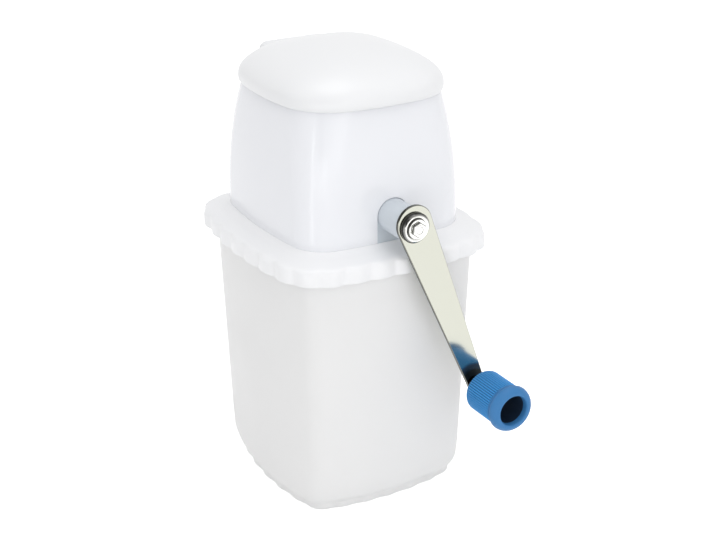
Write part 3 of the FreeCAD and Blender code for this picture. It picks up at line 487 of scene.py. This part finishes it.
def bin_plan(height, lean):
    """The bin's plan at a height, made smaller all round by lean."""
    low = min(max((FOOT_TOP - height) / FOOT_FADE, 0), 1)
    width, depth, bulge, corner = BIN.lean(lean).sizes
    return Plan(width - FOOT_NARROWER * low, depth + FOOT_DEEPER * low, bulge,
                corner - FOOT_SHARPER * low)


def make_bin():
    stations = BIN.stations()
    foot = bin_plan(0, FOOT_LEAN)

    def foot_rings(rows):
        return [ring(stations, foot, height, out, wave, FOOT_LOBES) for height, out, wave in rows]

    rings = [[point(0, 0, BIN_UNDERSIDE[0][0])]] + foot_rings(BIN_UNDERSIDE)
    rings += [ring(stations, bin_plan(height, lean), height, 0, wave, FOOT_LOBES)
              for height, lean, wave in BIN_OUTSIDE]
    rim = BIN_HEIGHT - BIN_WALL / 2
    rings += [ring(stations, BIN, rim + up, out - BIN_WALL / 2)
              for out, up in arc((0, 0), BIN_WALL / 2, 0, 180, 6)]
    rings += [ring(stations, bin_plan(height, lean), height, -BIN_WALL)
              for height, lean, _ in reversed(BIN_OUTSIDE) if height > BIN_INSIDE_FROM]
    rings += foot_rings(BIN_INNER_CORNER)
    rings.append([point(0, 0, BIN_FLOOR)])
    item = make_object("frosted_bin", [skin(rings)])
    finish_piece(item, "bin_body", frosted_plastic, "bin", sharp=50)


# ---------------------------------------------------------------- housing

HOUSING_FOOT = Plan(113.7, 105.8, 290, 21)
HOUSING_MOUTH = Plan(99.3, 91.4, 240, 28)
HOUSING_CURVE = 2.4
HOUSING_WALL = 2.6
SEAT, HOUSING_TOP = 159.3, 237.5
# The walls' levels, and the heights that their soft lower and upper edges take up.
WALL_LEVELS = 18
LOW_EDGE, HIGH_EDGE = 0.3, 0.8
# The soft edges themselves: height, distance out. The foot's inner corner comes last of all.
FOOT_EDGE = [(SEAT, -0.3), (SEAT + 0.1, -0.08)]
FOOT_INSIDE = 0.3 - HOUSING_WALL
MOUTH_EDGE = [(HOUSING_TOP - 0.25, -0.2), (HOUSING_TOP, -0.7), (HOUSING_TOP, 0.5 - HOUSING_WALL)]

SHAFT_HEIGHT = 174
SHAFT_AXIS = (0, SHAFT_HEIGHT)
SLOT_HALF = 9.6
# The tool that cuts both slots: its half length, its depth below the housing and its bevel.
SLOT_REACH, SLOT_DEPTH, SLOT_EDGE = 80, 5, 0.1
POST_X, POST_Y, POST_RADIUS, POST_TOP = 46, 41, 4.5, 171

HINGE = (-56.3, 236.5)
EAR_RADIUS, EAR_WIDTH = 4, 7.5
EAR_STARTS = (-19.5, 12)
EAR_FOOT, EAR_FOOT_LEAN = 12, 2.2


def housing_plan(height):
    """The housing's outside at a height: it leans in faster towards its mouth."""
    share = (height - SEAT) / (HOUSING_TOP - SEAT)
    return HOUSING_FOOT.towards(HOUSING_MOUTH, share ** HOUSING_CURVE)


def arch(half_width, foot):
    """A half circle about the shaft on straight legs down to foot, as (y, z)."""
    legs = [(-half_width, foot), (half_width, foot)]
    return legs + arc(SHAFT_AXIS, half_width, 0, 180, 32)


def ear_outline():
    """A hinge ear and its bracket in side view, as (z, x), up to the middle of the wall."""
    x, z = HINGE
    wall = HOUSING_WALL / 2 - housing_plan(HOUSING_TOP).half_x
    round_end = arc((z, x), EAR_RADIUS, -150, 0, 10)
    return round_end + [(HOUSING_TOP - 0.1, wall), (z - EAR_FOOT, wall - EAR_FOOT_LEAN)]


def make_housing():
    stations = HOUSING_FOOT.stations()
    span = HOUSING_TOP - SEAT - LOW_EDGE - HIGH_EDGE
    heights = [SEAT + LOW_EDGE + span * i / WALL_LEVELS for i in range(WALL_LEVELS + 1)]
    top = housing_plan(HOUSING_TOP)
    rings = [ring(stations, HOUSING_FOOT, height, out) for height, out in FOOT_EDGE]
    rings += [ring(stations, housing_plan(height), height) for height in heights]
    rings += [ring(stations, top, height, out) for height, out in MOUTH_EDGE]
    rings += [ring(stations, housing_plan(height), height, -HOUSING_WALL)
              for height in reversed(heights)]
    rings.append(ring(stations, HOUSING_FOOT, SEAT, FOOT_INSIDE))
    shell = make_object("hopper_housing", [skin(rings, closed=True)])
    slot = prism(arch(SLOT_HALF, SEAT - SLOT_DEPTH), -SLOT_REACH, SLOT_REACH, SLOT_EDGE, "x")
    cut_with(shell, [make_object("slot_tool", [slot])])

    posts = [prism(arc((x, y), POST_RADIUS, 0, 345, 23), SEAT, POST_TOP)
             for x in (-POST_X, POST_X) for y in (-POST_Y, POST_Y)]
    ears = [prism(ear_outline(), start, start + EAR_WIDTH, axis="y") for start in EAR_STARTS]
    fittings = make_object("housing_posts_and_ears", posts + ears)
    for item in (shell, fittings):
        finish_piece(item, "upper_body", housing_plastic, "housing")


# ---------------------------------------------------------------- collar and bushes

COLLAR = Plan(142.6, 133, 290, 26)
COLLAR_LOBES = 8
CHUTE = Plan(92, 64, 4000, 1)

# The collar's section from under its skirt up to the housing: height, share of the way in
# to the housing's foot, wave.
COLLAR_OUTSIDE = [(145.7, 0.03, 0.55), (145.8, 0.008, 0.7), (146.3, 0, 0.8), (149.0, 0, 0.8),
                  (151.5, 0, 0.8), (152.8, 0.004, 0.75), (153.7, 0.02, 0.6), (154.4, 0.05, 0.45),
                  (154.9, 0.09, 0.3), (155.3, 0.15, 0.18), (155.65, 0.23, 0.08), (156.0, 0.33, 0),
                  (156.35, 0.45, 0), (156.8, 0.58, 0), (157.3, 0.70, 0), (157.85, 0.81, 0),
                  (158.4, 0.90, 0), (158.95, 0.96, 0), (159.25, 0.99, 0), (159.36, 1.002, 0)]
# The rest of the section, from the housing down the inside, round the plug in the bin's mouth
# and out under the skirt: plan, height, distance out.
COLLAR_INSIDE = [(HOUSING_FOOT, 158.8, -HOUSING_WALL), (HOUSING_FOOT, 149.2, -HOUSING_WALL),
                 (HOUSING_FOOT, 148.5, -HOUSING_WALL - 0.7), (CHUTE, 148.5, 0), (CHUTE, 146, 0),
                 (BIN, 146, -5.8), (BIN, 145.2, -5.0), (BIN, 140.4, -5.0), (BIN, 140.0, -4.6),
                 (BIN, 140.0, -3.3), (BIN, 140.5, -2.8), (BIN, 149.9, -2.8),
                 (COLLAR, 149.9, -2.9), (COLLAR, 146.0, -2.9), (COLLAR, 145.7, -2.6)]

CHUTE_HALF_X, CHUTE_HALF_Y, CHUTE_WALL = 48.5, 34.5, 2.5
CHUTE_FOOT, CHUTE_TOP = 148.4, 172
# The chute's end walls are low sills under the shaft, with a high cheek on each side of it.
# Stays brace the side walls, and pads carry the housing's posts.
SILL_HALF, SILL_TOP = 33, 165
CHEEK_FOOT, CHEEK_WIDTH, CHEEK_STARTS = 164, 24.5, (-33.5, 9)
STAY_X, STAY_HALF, STAY_LENGTH, STAY_STARTS = 30, 4.5, 10, (-43, 33)
PAD_HALF = 4

BUSH_BACK, BUSH_FACE = 50.3, 52.7
BOSS_RADIUS, BOSS_BORE = 9.2, 4.2
FLANGE_REACH, FLANGE_EDGE = 2.6, 0.3
# The tongue fills the slot: its gap at the sides, its depth below the housing, and how far it
# runs back into the flange and out through the wall.
TONGUE_GAP, TONGUE_DEPTH, TONGUE_BACK, TONGUE_OUT, TONGUE_EDGE = 0.2, 0.6, 0.5, 3.3, 0.35


def make_collar():
    stations = COLLAR.stations()
    rings = [ring(stations, COLLAR.towards(HOUSING_FOOT, share), height, 0, wave, COLLAR_LOBES,
                  scalloped=True)
             for height, share, wave in COLLAR_OUTSIDE]
    rings += [ring(stations, plan, height, out) for plan, height, out in COLLAR_INSIDE]

    chute = [block(-CHUTE_HALF_X, CHUTE_HALF_X, y, y + CHUTE_WALL, CHUTE_FOOT, CHUTE_TOP)
             for y in (-CHUTE_HALF_Y, CHUTE_HALF_Y - CHUTE_WALL)]
    for x in (-CHUTE_HALF_X, CHUTE_HALF_X - CHUTE_WALL):
        chute.append(block(x, x + CHUTE_WALL, -SILL_HALF, SILL_HALF, CHUTE_FOOT, SILL_TOP))
        chute += [block(x, x + CHUTE_WALL, y, y + CHEEK_WIDTH, CHEEK_FOOT, CHUTE_TOP)
                  for y in CHEEK_STARTS]
    for x in (-STAY_X, STAY_X):
        chute += [block(x - STAY_HALF, x + STAY_HALF, y, y + STAY_LENGTH, CHUTE_FOOT, CHUTE_TOP)
                  for y in STAY_STARTS]
    for x in (-POST_X, POST_X):
        chute += [block(x - PAD_HALF, x + PAD_HALF, y - PAD_HALF, y + PAD_HALF, CHUTE_FOOT, SEAT)
                  for y in (-POST_Y, POST_Y)]
    for name, skins, sharp in (("fluted_collar", [skin(rings, closed=True)], 40),
                               ("collar_chute", chute, 32)):
        finish_piece(make_object(name, skins), "upper_body", collar_plastic,
                     "collar", sharp)


def make_bush(name, node, sign, boss_end, bored_through):
    """A bearing bush: flange inside the wall, tongue in the slot, and a round boss. It is made
    on the crank's side, and a sign below 0 turns it round to the far side."""
    flange = arch(SLOT_HALF + FLANGE_REACH, SEAT)
    tongue = arch(SLOT_HALF - TONGUE_GAP, SEAT - TONGUE_DEPTH)
    shapes = [prism(flange, BUSH_BACK, BUSH_FACE, FLANGE_EDGE, "x"),
              prism(tongue, BUSH_FACE - TONGUE_BACK, BUSH_FACE + TONGUE_OUT, TONGUE_EDGE, "x")]
    boss = [(BUSH_FACE, BOSS_RADIUS), (boss_end - 0.9, BOSS_RADIUS),
            (boss_end - 0.3, BOSS_RADIUS - 0.25), (boss_end, BOSS_RADIUS - 0.8)]
    if bored_through:
        bore = [(boss_end, BOSS_BORE + 0.3), (boss_end - 0.3, BOSS_BORE),
                (BUSH_FACE + 0.3, BOSS_BORE), (BUSH_FACE, BOSS_BORE + 0.1)]
        profile = [bore[-1]] + boss + bore
    else:
        profile = [(BUSH_FACE, 0)] + boss + [(boss_end, 0)]
    shapes.append(turned(profile, SHAFT_AXIS))
    if sign < 0:
        shapes = [([Vector((-p.x, -p.y, p.z)) for p in points], faces)
                  for points, faces in shapes]
    finish_piece(make_object(name, shapes), "upper_body", bush_plastic, node)


# ---------------------------------------------------------------- lid

LID = Plan(106.8, 99.4, 164, 31)
LID_WIDEST, LID_CROWN, LID_CEILING = 236.2, 256.5, 244
DOME_LEVELS = 30
# The lip below the widest line, and the recess inside it: height, distance out.
LID_LIP = [(235.2, -0.02), (234.2, -0.15), (233.4, -0.4), (232.9, -0.7), (232.6, -1.1),
           (232.7, -1.4), (233.0, -1.6), (237.3, -1.6), (237.8, -2.1), (237.8, -10.4),
           (238.4, -11), (243.2, -11), (LID_CEILING, -11.8)]

# The hood is a short round bar over the hinge, cut away inside the lid's lip: low and high x,
# y and z of that cut.
HOOD_X, HOOD_Z = -53.5, 240
HOOD_RADIUS, HOOD_HALF, HOOD_CORNER = 6.6, 21.2, 5
HOOD_HOLLOW = (-51.2, -20, -30, 30, 220, 237.8)
# Room round each ear of the hinge, in the lid and in the hood.
EAR_GAP = 0.4
EAR_ROOM_BACK, EAR_ROOM_TOP = -70, 241.3
# Where the room ends at the front and begins above.
LID_ROOM, HOOD_ROOM = (-47.6, 225), (-47.4, 224)
TOOL_EDGE = 0.2


def make_lid():
    stations = LID.stations()
    widest = ring(stations, LID, 0)
    rings = [[point(0, 0, LID_CROWN)]]
    for step in range(1, DOME_LEVELS + 1):
        angle = math.radians(90 - 90 * step / DOME_LEVELS)
        share = math.cos(angle)
        height = (LID_WIDEST + (LID_CROWN - LID_WIDEST) * math.sin(angle)) * MM
        rings.append([Vector((p.x * share, p.y * share, height)) for p in widest])
    rings += [ring(stations, LID, height, out) for height, out in LID_LIP]
    rings.append([point(0, 0, LID_CEILING)])
    body = make_object("domed_lid", [skin(list(reversed(rings)))])
    cut_with(body, ear_rooms("ear_room", *LID_ROOM))

    hood = make_object("lid_hood", [hood_skin()])
    hollow = make_object("hood_inside", [block(*HOOD_HOLLOW, TOOL_EDGE)])
    cut_with(hood, ear_rooms("hood_room", *HOOD_ROOM) + [hollow])
    for item in (body, hood):
        finish_piece(item, "lid_body", lid_plastic, "lid")


def ear_rooms(name, front, foot):
    """Tools that make room round the ears, up to front along X and from foot up."""
    rooms = []
    for i, start in enumerate(EAR_STARTS):
        room = block(EAR_ROOM_BACK, front, start - EAR_GAP, start + EAR_WIDTH + EAR_GAP,
                     foot, EAR_ROOM_TOP, TOOL_EDGE)
        rooms.append(make_object(f"{name}_{i}", [room]))
    return rooms


def hood_skin():
    """The hood along Y, with well rounded ends."""
    profile = [(-HOOD_HALF, 0)]
    profile += [(-HOOD_HALF + HOOD_CORNER + a, HOOD_RADIUS - HOOD_CORNER + b)
                for a, b in arc((0, 0), HOOD_CORNER, 180, 90, 8)]
    profile += [(-a, b) for a, b in reversed(profile[1:])]
    profile.append((HOOD_HALF, 0))
    rings = []
    for y, reach in profile:
        if reach == 0:
            rings.append([point(HOOD_X, y, HOOD_Z)])
        else:
            rings.append([point(x, y, z)
                          for z, x in arc((HOOD_Z, HOOD_X), reach, 0, 352.5, 47)])
    return skin(rings)


# ---------------------------------------------------------------- crank

ARM_BACK, ARM_FRONT = 76, 78
ARM_LENGTH = 112
ARM_LEAN = 22.5
ARM_EDGE = 0.35
HUB_RADIUS, TIP_RADIUS = 10.5, 5.2
# The round hub's centre, beside and above the shaft's.
HUB_ASIDE, HUB_ABOVE = 0.4, 1.5

# Turned pieces on the shaft's axis: x, radius.
WASHER = [(78, 0), (78, 8.2), (78.2, 8.4), (79.3, 8.4), (79.5, 8.3), (80.6, 7.3), (80.8, 7.05),
          (80.9, 6.75), (80.9, 6.4), (80.75, 6.2), (80.7, 0)]
BOLT_FLANGE = [(80.7, 0), (80.7, 5.3), (80.9, 5.5), (81.3, 5.5), (81.55, 5.25), (81.6, 4.9),
               (81.6, 0)]
BOLT_BUTTON = [(83.2, 0), (83.2, 2.9), (83.4, 2.85), (83.5, 2.6), (83.5, 2.1), (83.3, 1.85),
               (83.0, 1.7), (82.9, 0)]
HEAD_RADIUS, HEAD_BACK, HEAD_FRONT, HEAD_TURN = 4.3, 81.5, 83.3, 22.5
# The knob's pin: riveted behind the arm, a collar before it, and the rivet head in the knob.
PIN = [(75.6, 0), (75.6, 4.0), (75.8, 4.3), (76.0, 4.3), (76.0, 3.0), (78, 3.0), (78, 4.4),
       (78.15, 4.6), (81.75, 4.6), (81.9, 4.4), (81.9, 3.0), (89.5, 3.0), (89.5, 4.8),
       (89.8, 5.1), (90.3, 5.0), (90.8, 4.3), (91.05, 3.0), (91.1, 0)]

KNOB_AXIS = (ARM_LENGTH * math.sin(math.radians(ARM_LEAN)),
             SHAFT_HEIGHT - ARM_LENGTH * math.cos(math.radians(ARM_LEAN)))


def arm_outline():
    """The arm's outline as (y, z): a wide round hub, straight sides and a small round tip."""
    taper = math.degrees(math.asin((HUB_RADIUS - TIP_RADIUS) / ARM_LENGTH))
    hub = arc((HUB_ASIDE, SHAFT_HEIGHT + HUB_ABOVE), HUB_RADIUS, ARM_LEAN - taper,
              ARM_LEAN + 180 + taper, 48)
    return hub + arc(KNOB_AXIS, TIP_RADIUS, ARM_LEAN - 180 + taper, ARM_LEAN - taper, 24)


def make_crank():
    arm = make_object("polished_arm", [prism(arm_outline(), ARM_BACK, ARM_FRONT, ARM_EDGE, "x")])
    finish_piece(arm, "crank_body", arm_metal, "crank_arm", sharp=25)

    washer = make_object("raised_washer", [turned(WASHER, SHAFT_AXIS)])
    finish_piece(washer, "crank_body", bright_metal, "crank_washer", sharp=45)

    corners = arc(SHAFT_AXIS, HEAD_RADIUS, HEAD_TURN, HEAD_TURN + 300, 5)
    bolt = make_object("hexagon_bolt", [turned(BOLT_FLANGE, SHAFT_AXIS),
                                        prism(corners, HEAD_BACK, HEAD_FRONT, axis="x"),
                                        turned(BOLT_BUTTON, SHAFT_AXIS)])
    finish_piece(bolt, "crank_body", bright_metal, "crank_bolt")

    pin = make_object("riveted_pin", [turned(PIN, KNOB_AXIS)])
    finish_piece(pin, "crank_body", bright_metal, "knob_pin")


# ---------------------------------------------------------------- knob

KNOB_START, KNOB_FLOOR = 82.2, 89.2
KNOB_STEPS, KNOB_RIBS = 560, 56
VALLEY, RIB = 11.1, 0.95
# The shoulder rounds from this radius to the valleys' over this length.
SHOULDER_BASE, SHOULDER_LENGTH, SHOULDER_LEVELS = 9.2, 2.6, 8
BACK_RADIUS = SHOULDER_BASE - 0.6
# The shoulder's first levels face the arm and get painted shade: a near-black copy of the knob's
# plastic.
BACK_LEVELS = 5

# Rows of a profile: x, radius, and rib height where the piece has ribs.
BARREL = [(KNOB_START + 8, VALLEY, RIB), (KNOB_START + 15, VALLEY, RIB), (104.3, VALLEY, RIB),
          (104.8, VALLEY + 0.1, RIB * 0.7), (105.0, 11.5)]
BEAD = [(105.0, 11.5), (105.15, 11.9), (105.5, 12.25), (106.0, 12.3), (106.4, 12.0),
        (106.65, 11.75), (106.9, 11.8), (107.1, 12.2), (107.6, 12.85)]
# The rim's rounded end is a quarter of an ellipse: its centre (x, radius) and its two reaches.
RIM_X, RIM_RADIUS, RIM_LENGTH, RIM_HEIGHT = 108.3, 9.6, 4.6, 3.6
MOUTH = [(112.8, 9.1), (112.4, 8.7), (111.6, 8.5), (109.4, 8.4)]
BORE = [(109.4, 8.4), (KNOB_FLOOR + 1.5, 8.4), (KNOB_FLOOR + 0.7, 8.2), (KNOB_FLOOR, 7.4),
        (KNOB_FLOOR, 3.1), (KNOB_START, 3.1), (KNOB_START, BACK_RADIUS)]

# The painted shade between the ribs: its colour, and how far above the valleys it begins and is
# gone.
GROOVE_SHADE_COLOUR = (0.012, 0.085, 0.26)
GROOVE_LOW, GROOVE_HIGH = 0.1, 0.8


def make_knob():
    """A finely ribbed barrel with a round shoulder, a beaded rim and a deep bore."""
    # Painted shade: the foot of each groove darkens towards the valley.
    paint_groove_shade(knob_plastic, KNOB_AXIS, GROOVE_SHADE_COLOUR, VALLEY + GROOVE_LOW,
                   VALLEY + GROOVE_HIGH)
    shoulder = [(KNOB_START, BACK_RADIUS)]
    for step in range(1, SHOULDER_LEVELS + 1):
        share = step / SHOULDER_LEVELS
        angle = math.radians(90 * share)
        shoulder.append((KNOB_START + SHOULDER_LENGTH * (1 - math.cos(angle)),
                         SHOULDER_BASE + (VALLEY - SHOULDER_BASE) * math.sin(angle),
                         RIB * share ** 2))
    end = [(RIM_X + RIM_LENGTH * a, RIM_RADIUS + RIM_HEIGHT * b)
           for b, a in arc((0, 0), 1, 0, 90, 12)]
    for name, profile, material in (
            ("knob_shoulder", shoulder[:BACK_LEVELS + 1], knob_back_painted_shade),
            ("ribbed_knob", shoulder[BACK_LEVELS:] + BARREL, knob_plastic),
            ("knob_rim", BEAD + end + MOUTH, knob_rim_painted_shade),
            ("knob_bore", BORE, bore_painted_shade)):
        piece = make_object(name, [turned(profile, KNOB_AXIS, KNOB_STEPS, KNOB_RIBS)])
        finish_piece(piece, "knob_body", material, "crank_knob")


# ---------------------------------------------------------------- the whole object

make_bin()
make_housing()
make_collar()
make_bush("crank_bush_boss", "crank_bush", sign=1, boss_end=75.6, bored_through=True)
make_bush("rear_bush_boss", "rear_bush", sign=-1, boss_end=59.2, bored_through=False)
make_lid()
make_crank()
make_knob()

NODE_MATERIALS = {
    "hinge_pin": steel, "hopper_funnel": inner_plastic, "rear_comb": brushed_metal,
    "front_comb": brushed_metal, "comb_screws": steel, "collar_screws": steel,
    "drive_shaft": steel, "blade_spacers": steel, "end_spacers": steel,
    "thrust_washers": washer_plastic,
    **{f"breaker_{i}": brushed_metal for i in range(1, 7)},
}
for node, material in NODE_MATERIALS.items():
    for material_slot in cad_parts[node].material_slots:
        material_slot.material = material


# ---------------------------------------------------------------- floor, world and lamps

FLOOR_SIZE, FLOOR_DROP = 12, 0.0002
FLOOR_GLOW = 0.6
DIFFUSE_LIGHT = 0.74

# The dark side of the room, which shiny metal reflects: its direction, the cosines of the
# angles from it at which the dark begins and is full, and the light that is left there.
DARK_SIDE = (0.77, -0.47, 0.43)
DARK_FROM, DARK_FULL = 0.86, 0.95
DARK_LIGHT = 0.04


def seen_directly(tree):
    """A node that is 1 for camera, glossy and transmitted rays, which see the background, and
    else 0."""
    path = add_node(tree, "LightPath")
    either = add_node(tree, "Math", operation="MAXIMUM")
    result = add_node(tree, "Math", operation="MAXIMUM")
    link(tree, path, "Is Camera Ray", either, 0)
    link(tree, path, "Is Glossy Ray", either, 1)
    link(tree, either, "Value", result, 0)
    link(tree, path, "Is Transmission Ray", result, 1)
    return result


def make_floor():
    """A white floor that keeps the object's shadow and glows only as a background."""
    bpy.ops.mesh.primitive_plane_add(size=FLOOR_SIZE, location=(0, 0, -FLOOR_DROP))
    floor = bpy.context.object
    floor.name = "floor"
    material = principled("floor_white", (0.9, 0.9, 0.9), 0.9, Specular_IOR_Level=0.0,
                          Emission_Color=(1, 1, 1, 1))
    tree = material.node_tree
    glow = add_node(tree, "Math", operation="MULTIPLY")
    glow.inputs[1].default_value = FLOOR_GLOW
    link(tree, seen_directly(tree), "Value", glow, 0)
    link(tree, glow, "Value", tree.nodes[SHADER], "Emission Strength")
    floor.data.materials.append(material)


def make_world():
    """White behind the object, softer as a light, and dark on one side in reflections."""
    world = bpy.data.worlds.new("studio")
    world.use_nodes = True
    bpy.context.scene.world = world
    tree = world.node_tree
    background = tree.nodes["Background"]
    background.inputs["Color"].default_value = (1, 1, 1, 1)
    place = add_node(tree, "TexCoord")
    path = add_node(tree, "LightPath")
    facing = add_node(tree, "VectorMath", operation="DOT_PRODUCT")
    facing.inputs[1].default_value = Vector(DARK_SIDE).normalized()
    shade = add_node(tree, "MapRange", From_Min=DARK_FROM, From_Max=DARK_FULL, To_Min=1.0,
                     To_Max=DARK_LIGHT)
    seen = add_node(tree, "Mix", data_type="FLOAT", A=1.0)
    strength = add_node(tree, "Mix", data_type="FLOAT", A=DIFFUSE_LIGHT)
    link(tree, place, "Generated", facing, 0)
    link(tree, facing, "Value", shade, "Value")
    link(tree, shade, "Result", seen, "B")
    link(tree, path, "Is Glossy Ray", seen, "Factor")
    link(tree, seen, "Result", strength, "B")
    link(tree, seen_directly(tree), "Value", strength, "Factor")
    link(tree, strength, "Result", background, "Strength")


def make_lamp(name, place, aim, size, watts):
    """A rectangular lamp at place, which shines towards aim and which the camera can't see."""
    lamp = bpy.data.objects.new(name, bpy.data.lights.new(name, "AREA"))
    lamp.data.shape = "RECTANGLE"
    lamp.data.size, lamp.data.size_y = size
    lamp.data.energy = watts
    lamp.location = place
    lamp.rotation_euler = (Vector(place) - Vector(aim)).to_track_quat("Z", "Y").to_euler()
    lamp.visible_camera = False
    bpy.context.scene.collection.objects.link(lamp)
    return lamp


make_floor()
make_world()
make_lamp("key", place=(1.5, -0.3, 0.6), aim=(0, 0, 0.12), size=(1.6, 1.2), watts=5.0)
make_lamp("top", place=(0.1, 0.0, 1.6), aim=(0, 0, 0.1), size=(1.0, 1.0), watts=4.8)
make_lamp("fill", place=(1.0, -0.9, 0.12), aim=(0, 0, 0.07), size=(0.8, 0.25), watts=0.7)
# The strip gives only a highlight down the housing's near corner.
strip = make_lamp("strip", place=(0.21, -0.359, 0.15), aim=(0.05, -0.045, 0.2),
                  size=(0.03, 0.3), watts=0.09)
strip.visible_diffuse = False
bpy.context.scene.view_settings.view_transform = "Standard"
